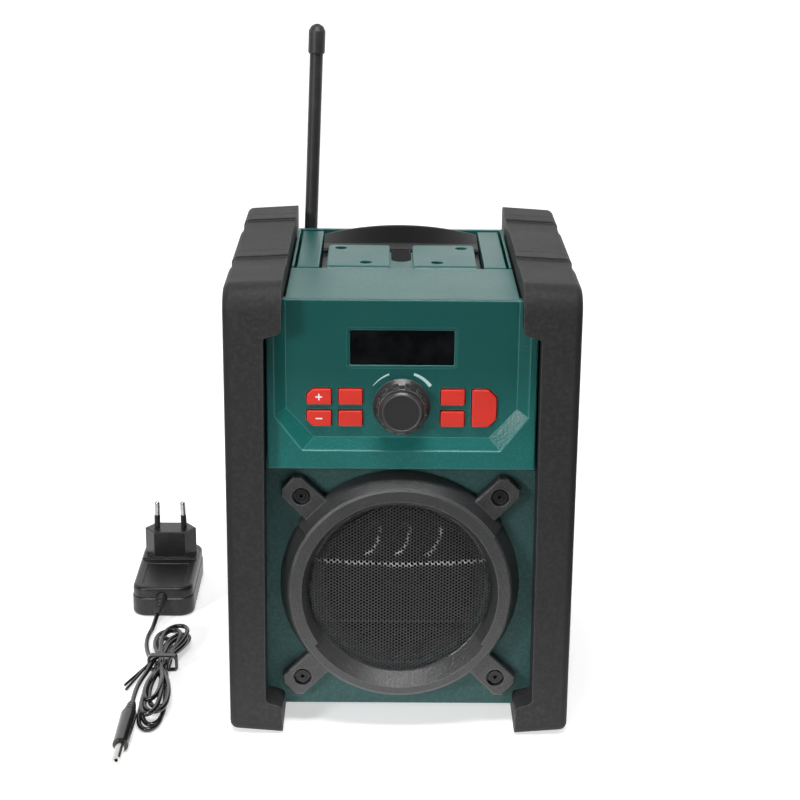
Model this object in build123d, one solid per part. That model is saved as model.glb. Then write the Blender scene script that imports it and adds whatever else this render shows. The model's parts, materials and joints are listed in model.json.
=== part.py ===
from build123d import *
from math import cos, radians, sin, tan
import os

# Jobsite radio: a green housing between two side guards, with its wall adapter beside it.
# Millimetres. Origin: centre of the radio's base, on the floor. +Z is up, -Y is the front.

# ---- Overall ----
overall_width = 199.0
overall_depth = 215.0
gap = 0.3                      # clearance between pieces that are bolted or dropped together
running = 0.05                 # radial clearance of a turning fit
weld = 0.5                     # how far parts of one moulding run into each other

# ---- Heights, from the floor up ----
housing_bottom = 10.4
speaker_lift = 77.6            # the speaker's axis above the housing's bottom
ring_base_radius = 70.0
panel_lift = 5.5               # the control panel's lower edge above the speaker's ring
panel_height = 98.7
guard_rise = 10.8              # how far the guards stand above the top cover
ring_z = housing_bottom + speaker_lift
panel_bottom = ring_z + ring_base_radius + panel_lift
top_z = panel_bottom + panel_height
overall_height = top_z + guard_rise

# ---- Depths, from the guards' ends inwards ----
front_margin = 22.0            # the housing's front behind the guards' front
rear_margin = 23.5
panel_rise = 12.0              # the control panel in front of the housing
housing_front = front_margin - overall_depth / 2
housing_rear = overall_depth / 2 - rear_margin
panel_front = housing_front - panel_rise

# ---- Side guards ----
guard_wall = 3.5
guard_draft = 3.0              # degrees, towards the outer face
guard_front_radius = 14.5      # top front corner
guard_rear_radius = 5.0        # top rear corner
guard_foot_radius = 6.0
guard_edge_radius = 4.5
ear_inner = 66.6               # half distance between the guards at the top
flange_top_inner = 76.9        # the same, below the ears
flange_foot_inner = 78.2       # the same, above the feet
foot_inner = 68.5              # the same, at the feet
ear_drop = 16.2                # the ears' lower edge below the housing's top
ear_slope = 3.0
foot_high = 20.8
foot_slope = 2.6
foot_pad_width = 9.0
foot_pad_length = 58.0
recess_depth = 1.5
recess_slope = 6.0             # length of a channel's gentle front slope
recess_spans = ((-60.0, -32.0), (33.0, 67.5))   # Y of the two channels over each guard
rib_length = 12.5              # Y length of the raised rib behind each channel
rib_groove = 1.2               # width and depth of the grooves that end a rib and crease it
guard_rib_thickness = 2.5
guard_rib_levels = (70.0, 130.0, 190.0)
guard_screw_y = 53.0
guard_screw_low = 48.0
guard_screw_drop = 24.0        # the upper ones, below the shells' top
guard_screw_sink = 7.0         # depth of the guard screws' seats below the outer face
guard_screw_bite = 4.0         # how far they go in behind the housing's wall
guard_boss_radius = 6.0

# ---- Housing ----
wall = 3.0
housing_half = 80.0
cover_height = 12.2
shell_top = top_z - cover_height
shell_split = -20.0
deck_drop = 18.0               # the deck below the shells' top
skirt_half = 68.1              # half width between the feet
skirt_high = 18.7
skirt_slope = 3.3

# ---- Control panel ----
panel_half = 76.0
panel_round = 1.2
seam_depth = 9.0               # the joint with the top cover behind the panel's front
recess_sink = 4.0
recess_edge = 0.5              # the small bevel along the recess's outer edge
recess_floor = panel_front + recess_sink
floor_thickness = 2.5
recess_outer = ((71.2, 31.5), (55.9, 11.5))   # X, and height above the panel's lower edge
recess_inner = ((65.2, 35.3), (49.7, 18.2))

# ---- Display ----
window_half = 29.0
window_drop = 18.0             # the window's upper edge below the panel's top
window_height = 19.8
window_frame = 2.0
window_depth = 0.5
window_thickness = 2.0

# ---- Knob ----
knob_lift = 36.8               # the knob's axis above the panel's lower edge
knob_z = panel_bottom + knob_lift
knob_skirt_radius = 16.4
knob_radius = 13.3
knob_rib_radius = 14.2
knob_rib_count = 12
knob_rib_width = 3.2
knob_rib_length = 9.8
knob_disc_radius = 11.9
knob_length = 13.4
shaft_radius = 3.0

# ---- Buttons ----
button_rise = 1.9
button_gap = 0.55
button_flange = 1.0
button_flange_thickness = 1.2
button_travel = 0.8
button_height = 9.0
button_rows = (42.4, 29.6)     # heights above the panel's lower edge
inner_column = 28.8
inner_width = 13.4
outer_column = 46.6
outer_width = 13.8
button_chamfer = 3.4
play_chamfer = 4.6
button_round = 0.8

# ---- Boards ----
board_thickness = 1.6
control_board_depth = 9.0      # the board's front behind the recess floor
control_board_front = recess_floor + control_board_depth
board_side_room = 9.0          # between a board's end and the shells' inner face
control_board_half = housing_half - wall - board_side_room
control_board_lift = 6.5       # the board's lower edge above the panel's
control_board_end = 21.7       # the panel's height less the board's
control_board_height = panel_height - control_board_end
board_screw_length = 8.0
main_board_inset = 6.0         # its end further in than the control board's
main_board_half = control_board_half - main_board_inset
main_board_front = 8.0
main_board_drop = 24.0         # its top below the shells' top
main_board_height = 76.0
part_margin = 10.0             # the parts on it from its edges
tuner_width = 22.0
tuner_depth = 4.0
chip_depth = 3.0
chip_height = 30.0
capacitor_radius = 4.5
capacitor_length = 14.0
sink_width = 40.0
sink_height = 35.0
sink_depth = 16.0
sink_base = 3.5
sink_fins = 6
sink_fin = 2.0
board_screw_inset = 4.0
board_screw_lift = 8.0
board_screw_drop = 11.0
switch_size = 6.0
encoder_size = 12.4

# ---- Top cover ----
cover_half = 65.2
cover_wall = 2.6
well_depth = 15.7
well_floor = top_z - well_depth
well_front = -17.5
strip_wall = 4.0
strip_groove = 3.0             # width of the groove behind the front strip
strip_groove_depth = 5.0
strip_round = 1.2
rear_rim = 2.5
rear_notch_half = 30.0
rear_notch_length = 10.0
rear_notch_rise = 2.0
slab_inner = 49.1
slab_outer = 62.2
slab_margin = 8.0              # from the slabs' end to the housing's rear
slab_round = 0.7
rim_inner = 63.8
pad_inner = 7.0
pad_outer = 44.8
pad_rear = 38.5
pad_round = 3.0
pad_front_round = 3.0
pad_edge_round = 0.8
channel_depth = 4.0            # the shelf between the pads, below their tops
scoop_half = 6.0               # half width of the finger scoop in that shelf
scoop_front = 11.0
pad_holes = ((37.0, 30.3), (21.3, -6.4))
pad_hole_radius = 3.75
pad_hole_depth = 11.7
pad_seat = top_z - pad_hole_depth
cover_screw_length = 14.0

# ---- Carry handle ----
handle_arm = 3.0
handle_gap = 0.5
pivot_inset = 8.0              # the pivot behind the well's front
pivot_depth = 10.7             # the pivot below the pads' tops
pivot_y = well_front + pivot_inset
pivot_z = top_z - pivot_depth
pivot_radius = 2.0
pivot_bury = 5.0
arm_height = 8.0
grip_clear = 3.0               # the grip behind the pads
grip_front = pad_rear + grip_clear
grip_margin = 4.0              # the grip in front of the housing's rear
grip_rear = housing_rear - grip_margin
grip_low = top_z - 11.6
grip_end_z = top_z - 0.6
grip_mid_z = top_z + 5.8
apron_z = top_z - 3.6
apron_length = 13.0
apron_rise = 0.8
grip_crest = 8.0               # the crest in front of the grip's rear
grip_fall = 4.0                # the grip's rear edge below the crest
grip_round = 6.0
grip_wall = 3.5
tab_half = 5.5
tab_clear = 3.5                # the tab's tip behind the scoop's edge
tab_drop = 9.0                 # its tip below the apron
tab_thickness = 2.4

# ---- Antenna ----
antenna_x = -58.9
antenna_offset = 9.5           # the pivot behind the housing
antenna_drop = 14.0            # the pivot below the shells' top
antenna_reach = 155.0          # from the pivot's height to the tip's
antenna_y = housing_rear + antenna_offset
antenna_z = shell_top - antenna_drop
antenna_lean = 2.04            # degrees, towards the radio's middle
rod_radius = 4.15
cap_radius = 5.25
cap_length = 18.5
knuckle_radius = 6.0
knuckle_half = 4.0
lug_thickness = 3.0
antenna_pin_radius = 1.6

# ---- Speaker ----
ring_thickness = 16.0
ring_lip_depth = 8.8
ring_front = housing_front - ring_thickness
ring_lip_y = ring_front + ring_lip_depth
ring_front_radius = 64.6
ring_inner_radius = 57.0
ring_lip_radius = 53.0
ring_bevel_radius = 59.5       # the wider inner bevel along the ring's bottom
ring_sector = 113.0            # degrees of that bevel, and of the raised flank on top
ring_chamfer = 1.0             # on the ring's outer front edge
ring_screw_offset = 57.05
lug_width = 17.0
lug_reach = 92.0
ring_lug_thickness = 7.7
lug_front = housing_front - ring_lug_thickness
lug_chamfer = 3.5
lug_seat_thickness = 4.0
screw_seat = housing_front - lug_seat_thickness
counterbore_radius = 5.3
ring_screw_length = 12.0
grille_radius = 56.6
grille_thickness = 0.9
band_rise = 2.2
band_low = -18.0
band_high = 17.0
band_radius = 52.4
speaker_hole = 50.5
driver_radius = 57.0
driver_depth = 46.0
driver_bolt_radius = 53.0
driver_screw_length = 9.0
magnet_radius = 34.0
magnet_thickness = 14.0
cone_radius = 39.0
cone_depth = 22.0
coil_radius = 13.0
surround_width = 5.4

# ---- Battery bay ----
cell_radius = 13.1
cell_length = 50.0
cell_rows = 3
cell_gap = 0.8
bay_wall = 2.0
bay_z = ring_z                 # the bay lies level with the speaker
door_thickness = 2.6
door_gap = 0.4
hinge_radius = 1.5
hinge_reach = 30.0             # the two hinges from the middle
hinge_lug_offset = 8.4         # each lug from its hinge's middle
knuckle_outer = 3.2
door_swing = 100.0

# ---- Sockets ----
socket_x = 45.0
dc_drop = 60.0                 # the low-voltage inlet below the shells' top
socket_pitch = 18.0
dc_z = shell_top - dc_drop
aux_z = dc_z - socket_pitch
flap_thickness = 2.2
flap_width = 18.0
flap_margin = 9.0
flap_swing = 100.0

# ---- Screws ----
shell_screw_inset = 7.0        # from the housing's side
shell_screw_lift = 23.6        # the lowest above the housing's bottom
shell_screw_middle = 130.0
shell_screw_drop = 12.0        # the highest below the shells' top
shell_screw_seat = 24.0        # the seats behind the split
shell_screw_length = 40.0
boss_radius = 4.6
screw_radius = 1.9
head_radius = 3.7
head_height = 2.4
hex_radius = 1.6

# ---- Wall adapter ----
adapter_x = -158.0
adapter_front = 57.5
adapter_length = 81.5
adapter_width = 41.3
adapter_height = 21.0
adapter_seam = 13.8
adapter_corner = 10.0
adapter_edge = 2.5
adapter_wall = 2.2
adapter_bevel = 0.8            # along the lower shell's top edge
block_y = 117.5
block_half = 17.6
block_half_flat = 10.8
block_half_depth = 9.3
block_foot = 1.2               # the low step around the block
label_half = 14.0
label_margin = 8.0
block_height = 20.0
pin_spacing = 18.6
pin_tip_spacing = 17.5
pin_length = 19.0
pin_radius = 2.0
sleeve_length = 9.5
relief_radius = 4.2
relief_tip_radius = 2.6

# ---- Low-voltage cord ----
cord_radius = 1.5
relief_root = (-158.5, 57.5, 13.5)
relief_tip = (-160.0, 46.5, 7.0)
supply_route = (
    relief_tip,
    (-161.8, 36.0, 1.7),
    (-163.9, 24.0, 1.5),
    (-163.2, 10.0, 1.5),
    (-160.3, -3.5, 1.6),
    (-156.5, -14.0, 3.0),
)
plug_route = (
    (-156.8, -33.0, 4.6),
    (-159.6, -46.0, 4.4),
    (-161.2, -62.0, 4.6),
    (-160.8, -78.0, 5.1),
)
hank_height = 10.0
hank_edge = 3.0
hank_waist = (-148.5, -22.5)
tie_width = 4.0
tie_thickness = 0.9
tie_half = 9.6
tie_ends = ((-169.5, -46.0), (-168.0, -52.0))
tie_end_radius = 0.9
plug_radius = 5.1
plug_ribs = 15.0
plug_grip = 37.0
barrel_length = 18.0
barrel_radius = 2.75
barrel_bore = 1.05


# ---- Shared shapes ----
def block(x0, x1, y0, y1, z0, z1):
    """A box between two corners."""
    return Pos((x0 + x1) / 2, (y0 + y1) / 2, (z0 + z1) / 2) * Box(x1 - x0, y1 - y0, z1 - z0)


def bar_x(radius, y, z, x0, x1):
    """A round bar along X."""
    return Pos((x0 + x1) / 2, y, z) * Rot(0, 90, 0) * Cylinder(radius, x1 - x0)


def bar_y(radius, x, z, y0, y1):
    """A round bar along Y."""
    return Pos(x, (y0 + y1) / 2, z) * Rot(90, 0, 0) * Cylinder(radius, y1 - y0)


def bar_z(radius, x, y, z0, z1):
    """A round bar along Z."""
    return Pos(x, y, (z0 + z1) / 2) * Cylinder(radius, z1 - z0)


def taper_y(front_radius, rear_radius, x, z, y0, y1):
    """A cone along Y, from its front end at y0 to its rear end at y1."""
    return Pos(x, (y0 + y1) / 2, z) * Rot(90, 0, 0) * Cone(rear_radius, front_radius, y1 - y0)


def polygon(*points):
    """A flat face with straight sides."""
    return make_face(Polyline(*points, close=True))


def round_at(face, point, radius):
    """Round the corner of a flat face that is nearest to a point."""
    corner = face.vertices().sort_by_distance((*point, 0))[0]
    return fillet(corner, radius)


def along_x(face, x0, x1):
    """A face drawn in Y and Z, run from x0 to x1."""
    return extrude(Plane.YZ.offset(x0) * face, amount=x1 - x0)


def along_y(face, y0, y1):
    """A face drawn in X and Z, run from y0 to y1."""
    return extrude(Plane.XZ.offset(-y1) * face, amount=y1 - y0)


def mirrored_points(points):
    """An outline's right half, closed by its mirror image across X = 0."""
    return (*points, *[(-x, z) for x, z in reversed(points)])


def both_sides(shape):
    """A piece and its mirror image across the middle plane."""
    return shape + mirror(shape, about=Plane.YZ)


def screw_y(x, z, seat, length, direction=1):
    """A socket screw along Y. Its head sits at seat; its shank runs the way of direction."""
    tip = seat + direction * length
    head_end = seat - direction * head_height
    shank = bar_y(screw_radius, x, z, min(seat, tip), max(seat, tip))
    head = bar_y(head_radius, x, z, min(seat, head_end), max(seat, head_end))
    key = Rot(90, 0, 0) * extrude(RegularPolygon(hex_radius, 6), amount=head_height)
    key_mouth = head_end if direction > 0 else seat + head_height
    return shank + head - Pos(x, key_mouth + (head_height if direction > 0 else 0), z) * key


# ---- Side guards ----
def draft_at(x):
    """How far the drafted walls have come in, at a distance x from the middle."""
    return (x - ear_inner) * tan(radians(guard_draft))


def guard_side(inset, thinner):
    """A guard's side outline in Y and Z. Its corners lose what the wall takes off them."""
    half = overall_depth / 2 - inset
    high = overall_height - inset
    face = polygon((-half, inset), (half, inset), (half, high), (-half, high))
    face = round_at(face, (half, high), guard_rear_radius - thinner)
    face = round_at(face, (-half, high), guard_front_radius - thinner)
    face = round_at(face, (half, inset), guard_foot_radius - thinner)
    return round_at(face, (-half, inset), guard_foot_radius - thinner)


def guard_block(x0, x1, wall_inset):
    """A drafted block with the guard's side outline, a wall's thickness inside it."""
    inner = guard_side(wall_inset + draft_at(x0), wall_inset)
    outer = guard_side(wall_inset + draft_at(x1), wall_inset)
    return loft([Plane.YZ.offset(x0) * inner, Plane.YZ.offset(x1) * outer])


def guard_front_view():
    """What of a guard shows from the front: ear, flange and foot, in X and Z."""
    above = 2 * overall_height
    beyond = overall_width
    ear_low = top_z - ear_drop
    ear_corner = (ear_inner, ear_low)
    ear_end = (flange_top_inner, ear_low - ear_slope)
    foot_end = (flange_foot_inner, foot_high)
    foot_corner = (foot_inner, foot_high - foot_slope)
    face = polygon(
        (ear_inner, above), ear_corner, ear_end, foot_end, foot_corner,
        (foot_inner, -10), (beyond, -10), (beyond, above),
    )
    for corner, radius in ((ear_corner, 4.5), (ear_end, 2.0), (foot_end, 3.5), (foot_corner, 3.5)):
        face = round_at(face, corner, radius)
    return face


def guard_pocket():
    """The room that the housing takes up inside the guards."""
    shell = along_y(housing_outline(-gap, shell_top + gap), housing_front - gap, housing_rear + gap)
    return shell + block(
        0, panel_half + gap, panel_front - gap, housing_front + gap, panel_bottom - gap, top_z + gap
    )


def wrap_over(start, end, depth, slope):
    """A band that wraps over a guard's top and outer side, depth mm into it."""
    outer = overall_width / 2
    top = overall_height - depth
    above = overall_height + recess_depth
    over = along_x(
        polygon((start - slope, above), (start + slope, top), (end, top), (end, above)),
        ear_inner - 1, outer + 1,
    )
    lean = Pos(ear_inner, 0, top) * Rot(0, guard_draft, 0) * Pos(-ear_inner, 0, -top)
    beside = outer + recess_depth
    side = extrude(
        polygon((beside, start - slope), (outer - depth, start + slope), (outer - depth, end), (beside, end)),
        amount=above,
    )
    return lean * over + side


def guard_reliefs():
    """Each channel over a guard, and the two grooves behind it that shape a rib."""
    cuts = []
    for start, end in recess_spans:
        cuts.append(wrap_over(start, end, recess_depth, recess_slope))
        rib_end = end + rib_length
        crease = end + rib_length / 2
        cuts.append(wrap_over(rib_end - rib_groove, rib_end, rib_groove, 0))
        cuts.append(wrap_over(crease, crease + rib_groove / 2, rib_groove / 2, 0))
    return cuts


def make_guard():
    """The right-hand guard: a drafted hollow bumper with an ear, a flange and a foot."""
    half_width = overall_width / 2
    body = guard_block(ear_inner, half_width, 0)
    outer_edges = body.edges().group_by(Axis.X)[-1]
    body = fillet(outer_edges, guard_edge_radius)
    body -= guard_reliefs()
    body = body & along_y(guard_front_view(), -overall_depth, overall_depth)
    body += make_foot_pads()
    body -= guard_pocket()
    body -= guard_block(housing_half + gap, half_width - guard_wall, guard_wall)
    body -= guard_end_hollows()
    return body + guard_insides() - guard_screw_holes()


def guard_end_hollows():
    """The hollows in a guard's ear and foot, open towards the housing."""
    room = guard_block(ear_inner, housing_half + guard_wall, guard_wall)
    far = overall_depth
    ear_x = ear_inner + guard_wall
    foot_x = foot_inner + guard_wall
    ear = block(ear_x, overall_width, -far, far, shell_top - gap, overall_height)
    foot = block(foot_x, overall_width, -far, far, 0, foot_high - foot_slope - guard_wall)
    return room & (ear + foot)


def make_foot_pads():
    """Flat undersides at a guard's four corners of contact."""
    end = overall_depth / 2 - guard_foot_radius
    pads = block(foot_inner, foot_inner + foot_pad_width, end - foot_pad_length, end, 0, guard_wall)
    return pads + mirror(pads, about=Plane.XZ)


def guard_insides():
    """Stiffening ribs and screw bosses inside a guard, bearing on the housing's side."""
    hollow_x = overall_width / 2 - guard_wall + weld
    inner_y = overall_depth / 2 - guard_wall
    inside = [
        block(housing_half + gap, hollow_x, -inner_y, inner_y, z, z + guard_rib_thickness)
        for z in guard_rib_levels
    ]
    for y in (-guard_screw_y, guard_screw_y):
        for z in guard_screw_heights():
            inside.append(bar_x(guard_boss_radius, y, z, housing_half + gap, hollow_x))
    return Part() + inside


def guard_screw_heights():
    """Z of the guard screws."""
    return (guard_screw_low, shell_top - guard_screw_drop)


def guard_screw_holes():
    """Counterbored holes from a guard's outer face."""
    seat = overall_width / 2 - guard_screw_sink
    holes = []
    for y in (-guard_screw_y, guard_screw_y):
        for z in guard_screw_heights():
            holes.append(bar_x(screw_radius + gap, y, z, housing_half, overall_width / 2))
            holes.append(bar_x(head_radius + gap, y, z, seat, overall_width / 2 + 1))
    return Part() + holes


def make_guard_screws():
    """The eight screws that hold the guards to the housing."""
    screws = []
    seat = overall_width / 2 - guard_screw_sink
    for y in (-guard_screw_y, guard_screw_y):
        for z in guard_screw_heights():
            screw = bar_x(screw_radius, y, z, housing_half - wall - guard_screw_bite, seat)
            screw += bar_x(head_radius, y, z, seat, seat + head_height)
            screws.append(screw - bar_x(hex_radius, y, z, seat + head_height / 3, seat + head_height))
    return both_sides(Part() + screws)


# ---- Housing ----
def housing_outline(inset, high):
    """The housing's section in X and Z, narrower between the guards' feet."""
    half = housing_half - inset
    skirt = skirt_half - inset
    face = polygon(
        *mirrored_points((
            (skirt, housing_bottom + inset), (skirt, skirt_high + inset),
            (half, skirt_high + skirt_slope + inset), (half, high),
        ))
    )
    for side in (1, -1):
        face = round_at(face, (side * skirt, skirt_high + inset), 3.0)
    return face


def boss_places():
    """Where the shells' screw bosses stand."""
    x = housing_half - shell_screw_inset
    heights = (housing_bottom + shell_screw_lift, shell_screw_middle, shell_top - shell_screw_drop)
    return [(side * x, z) for side in (-1, 1) for z in heights]


def guard_boss_holes():
    """Pilot holes in the housing's sides for the guard screws."""
    holes = []
    for y in (-guard_screw_y, guard_screw_y):
        for z in guard_screw_heights():
            holes.append(bar_x(screw_radius + running, y, z, housing_half - wall - 6, housing_half + 1))
    return both_sides(Part() + holes)


def make_front_shell():
    """The lower front panel and the front part of the housing's sides."""
    shell = along_y(housing_outline(0, shell_top), housing_front, shell_split)
    shell -= along_y(housing_outline(wall, shell_top + 1), housing_front + wall, shell_split + 1)
    shell -= bar_y(speaker_hole, 0, ring_z, housing_front - 1, housing_front + wall + 1)
    window = block(
        -panel_half + 4.5, panel_half - 4.5, housing_front - 1, housing_front + wall + 1,
        panel_bottom + 4.5, shell_top + 1,
    )
    shell -= window
    for x, z in boss_places():
        boss = bar_y(boss_radius, x, z, housing_front + wall - 0.5, shell_split)
        shell += boss - bar_y(screw_radius + running, x, z, shell_split - 20, shell_split + 1)
    for x, z in ring_screw_places():
        boss = bar_y(boss_radius, x, z, housing_front + wall - 0.5, housing_front + 14)
        shell += boss
        shell -= bar_y(screw_radius + running, x, z, housing_front - 1, housing_front + 12)
    shell -= driver_screw_holes()
    shell += panel_ledge() + shell_shoulders(housing_front, shell_split)
    pads = guard_wall_pads(-guard_screw_y)
    return (shell + pads) - guard_boss_holes()


def shell_shoulders(y0, y1):
    """Ledges that close the housing's top beside the cover, under the guards' ears."""
    inner = cover_half + gap
    return both_sides(block(inner, housing_half - weld, y0, y1, shell_top - wall, shell_top))


def panel_ledge():
    """Two bosses behind the control panel that its board is screwed to."""
    posts = []
    for x, z in board_screw_places():
        post = bar_y(3.0, x, z, control_board_front + board_thickness, housing_front + 14)
        posts.append(post)
        side = 1 if x > 0 else -1
        posts.append(
            block(
                min(x, side * (housing_half - 1)), max(x, side * (housing_half - 1)),
                housing_front + 8, housing_front + 14, z - 2.5, z + 2.5,
            )
        )
    ledge = Part() + posts
    for x, z in board_screw_places():
        ledge -= bar_y(screw_radius + running, x, z, housing_front, housing_front + 12)
    return ledge


def guard_wall_pads(y):
    """Thick pads on the housing's side walls that take the guard screws."""
    pads = [
        block(housing_half - wall - 5, housing_half - wall + 0.5, y - 6, y + 6, z - 6, z + 6)
        for z in guard_screw_heights()
    ]
    return both_sides(Part() + pads)


def make_rear_shell():
    """The rear part of the housing, with its floor, deck and battery opening."""
    shell = along_y(housing_outline(0, shell_top), shell_split, housing_rear)
    shell -= along_y(housing_outline(wall, shell_top + 1), shell_split - 1, housing_rear - wall)
    shell += make_deck() + shell_shoulders(shell_split, housing_rear)
    for x, z in boss_places():
        shell += bar_y(boss_radius + 1, x, z, shell_split, housing_rear - wall + weld)
        shell -= bar_y(screw_radius + gap, x, z, shell_split - 1, housing_rear)
        shell -= bar_y(head_radius + gap, x, z, shell_split + shell_screw_seat, housing_rear + 1)
    shell -= bay_opening()
    shell += door_hinge_lugs()
    shell -= bar_y(4.2, socket_x, dc_z, housing_rear - 20, housing_rear + 1)
    shell -= bar_y(3.2, socket_x, aux_z, housing_rear - 20, housing_rear + 1)
    shell -= flap_seat()
    return (shell + guard_wall_pads(guard_screw_y)) - guard_boss_holes()


def make_deck():
    """A shelf under the top cover, with posts for the cover's screws."""
    deck_z = shell_top - deck_drop
    deck = block(-housing_half + 1, housing_half - 1, shell_split, housing_rear - 1, deck_z, deck_z + wall)
    for x, y in cover_screw_places():
        deck += bar_z(boss_radius, x, y, deck_z, well_floor - cover_wall)
        deck -= bar_z(screw_radius + running, x, y, deck_z - 1, pad_seat)
    return deck - block(-20, 20, shell_split - 1, shell_split + 24, deck_z - 1, deck_z + wall + 1)


def make_shell_screws():
    """The six long screws from the rear that close the housing."""
    seat = shell_split + shell_screw_seat
    return Part() + [screw_y(x, z, seat, shell_screw_length, -1) for x, z in boss_places()]


# ---- Control panel ----
def recess_face(points):
    """The outline of the panel's recess, open at the top."""
    (x_side, side_lift), (x_low, low_lift) = points
    side_z = panel_bottom + side_lift
    return polygon(*mirrored_points((
        (x_low, panel_bottom + low_lift), (x_side, side_z), (x_side, side_z + panel_height)
    )))


def panel_recess():
    """The recess in the control panel, with sides that slope inwards."""
    outline = recess_face(recess_outer)
    wider = offset(outline, recess_edge, kind=Kind.INTERSECTION)
    back = Plane.XZ.offset(-recess_floor) * recess_face(recess_inner)
    edge = Plane.XZ.offset(-panel_front - recess_edge) * outline
    front = Plane.XZ.offset(-panel_front) * wider
    return loft([back, edge]) + loft([edge, front])


def window_recess():
    """The sloped frame around the display window."""
    front = Plane.XZ.offset(-recess_floor) * fillet(window_outline(window_frame).vertices(), 2.0)
    back_y = recess_floor + window_depth
    back = Plane.XZ.offset(-back_y) * fillet(window_outline(gap).vertices(), 1.0)
    return loft([back, front])


def make_control_panel():
    """The upper front panel, with its recess, window and button holes."""
    panel = block(-panel_half, panel_half, panel_front, housing_front - 0.01, panel_bottom, top_z)
    bottom_edges = panel.edges().filter_by(Axis.X).group_by(Axis.Y)[0].group_by(Axis.Z)[0]
    side_edges = panel.edges().filter_by(Axis.Z).group_by(Axis.Y)[0]
    panel = fillet(bottom_edges + side_edges, panel_round)
    panel -= panel_recess()
    panel -= block(
        -panel_half - 1, panel_half + 1, panel_front + seam_depth, housing_front + 1,
        shell_top - gap, top_z + 1,
    )
    top_edges = panel.edges().filter_by(Axis.X).group_by(Axis.Z)[-1].group_by(Axis.Y)[:-1]
    for edges in top_edges:
        panel = fillet(edges, panel_round)
    back = recess_floor + floor_thickness
    panel -= block(
        -panel_half + wall, panel_half - wall, back, housing_front + 1,
        panel_bottom + wall, top_z - wall,
    )
    panel += window_seat()
    panel -= window_recess() + window_opening()
    for cap in button_caps().values():
        panel -= along_y(offset(cap, button_gap), recess_floor - 1, back + 1)
    return panel - bar_y(shaft_radius + 1.6, 0, knob_z, recess_floor - 1, back + 1)


def window_seat_y():
    """Y of the ledge that the display window rests on."""
    return recess_floor + window_depth + window_thickness


def window_outline(margin):
    """The display window's outline, grown by a margin on each side."""
    middle = top_z - window_drop - window_height / 2
    return Pos(0, middle) * Rectangle(2 * (window_half + margin), window_height + 2 * margin)


def window_seat():
    """A thick frame behind the display opening."""
    return along_y(window_outline(3.0), recess_floor + 1.0, window_seat_y() + 1.0)


def window_opening():
    """The window's pocket, and the smaller opening behind it."""
    pocket = along_y(window_outline(gap), recess_floor, window_seat_y())
    return pocket + along_y(window_outline(-1.2), recess_floor, window_seat_y() + 2.0)


def make_display_window():
    """The clear window over the display."""
    face = fillet(window_outline(0).vertices(), 0.8)
    return along_y(face, recess_floor + window_depth, window_seat_y())


def make_lcd_module():
    """The display module on the control board."""
    return along_y(window_outline(-2.0), window_seat_y() + 1.0 + gap, control_board_front)


def button_face(x, width, z, height, chamfers):
    """One button's outline in X and Z. chamfers maps corner signs to a chamfer."""
    face = Pos(x, z) * Rectangle(width, height)
    for (side, level), size in chamfers.items():
        corner = (x + side * width / 2, z + level * height / 2)
        face = chamfer(face.vertices().sort_by_distance((*corner, 0))[0], size)
    return fillet(face.vertices(), button_round)


def button_caps():
    """The seven buttons' outlines, by name."""
    upper, lower = [panel_bottom + lift for lift in button_rows]
    tall = upper - lower + button_height
    middle = (upper + lower) / 2
    left_in, left_out = -inner_column, -outer_column
    small = button_chamfer
    play = {(1, 1): play_chamfer, (1, -1): play_chamfer}
    return {
        "tune_up_button": button_face(left_out, outer_width, upper, button_height, {(-1, 1): small}),
        "tune_down_button": button_face(left_out, outer_width, lower, button_height, {(-1, -1): small}),
        "menu_button": button_face(left_in, inner_width, upper, button_height, {}),
        "preset_button": button_face(left_in, inner_width, lower, button_height, {}),
        "power_button": button_face(inner_column, inner_width, upper, button_height, {}),
        "source_button": button_face(inner_column, inner_width, lower, button_height, {}),
        "play_button": button_face(outer_column, outer_width, middle, tall, play),
    }


def make_button(cap):
    """A button: its cap, a flange that keeps it in, and a stem over its switch."""
    back = recess_floor + floor_thickness
    body = along_y(cap, recess_floor - button_rise, back + gap)
    front_edges = body.faces().sort_by(Axis.Y)[0].edges()
    body = fillet(front_edges, 0.5)
    body += along_y(offset(cap, button_flange), back + gap, back + gap + button_flange_thickness)
    centre = cap.center()
    return body + bar_y(1.6, centre.X, centre.Y, back + gap, switch_front() - button_travel - 0.1)


def switch_front():
    """Y of the switches' plungers."""
    return control_board_front - 2.2


def make_button_switches():
    """The seven small switches on the control board, one behind each button."""
    switches = []
    for cap in button_caps().values():
        x, z = cap.center().X, cap.center().Y
        half = switch_size / 2
        body = block(x - half, x + half, control_board_front - 1.6, control_board_front, z - half, z + half)
        switches.append(body + bar_y(1.6, x, z, switch_front(), control_board_front - 1.0))
    return Part() + switches


def board_screw_places():
    """Where the control board is screwed down."""
    low = panel_bottom + control_board_lift
    heights = (low + board_screw_lift, low + control_board_height - board_screw_drop)
    return [(side * (control_board_half - board_screw_inset), z) for side in (-1, 1) for z in heights]


def make_control_board():
    """The board behind the control panel."""
    rear = control_board_front + board_thickness
    low = panel_bottom + control_board_lift
    board = block(
        -control_board_half, control_board_half, control_board_front, rear,
        low, low + control_board_height,
    )
    for x, z in board_screw_places():
        board -= bar_y(screw_radius + gap, x, z, control_board_front - 1, rear + 1)
    return board


def make_board_screws():
    """The control board's four screws."""
    return Part() + [screw_y(x, z, control_board_front, board_screw_length) for x, z in board_screw_places()]


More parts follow.
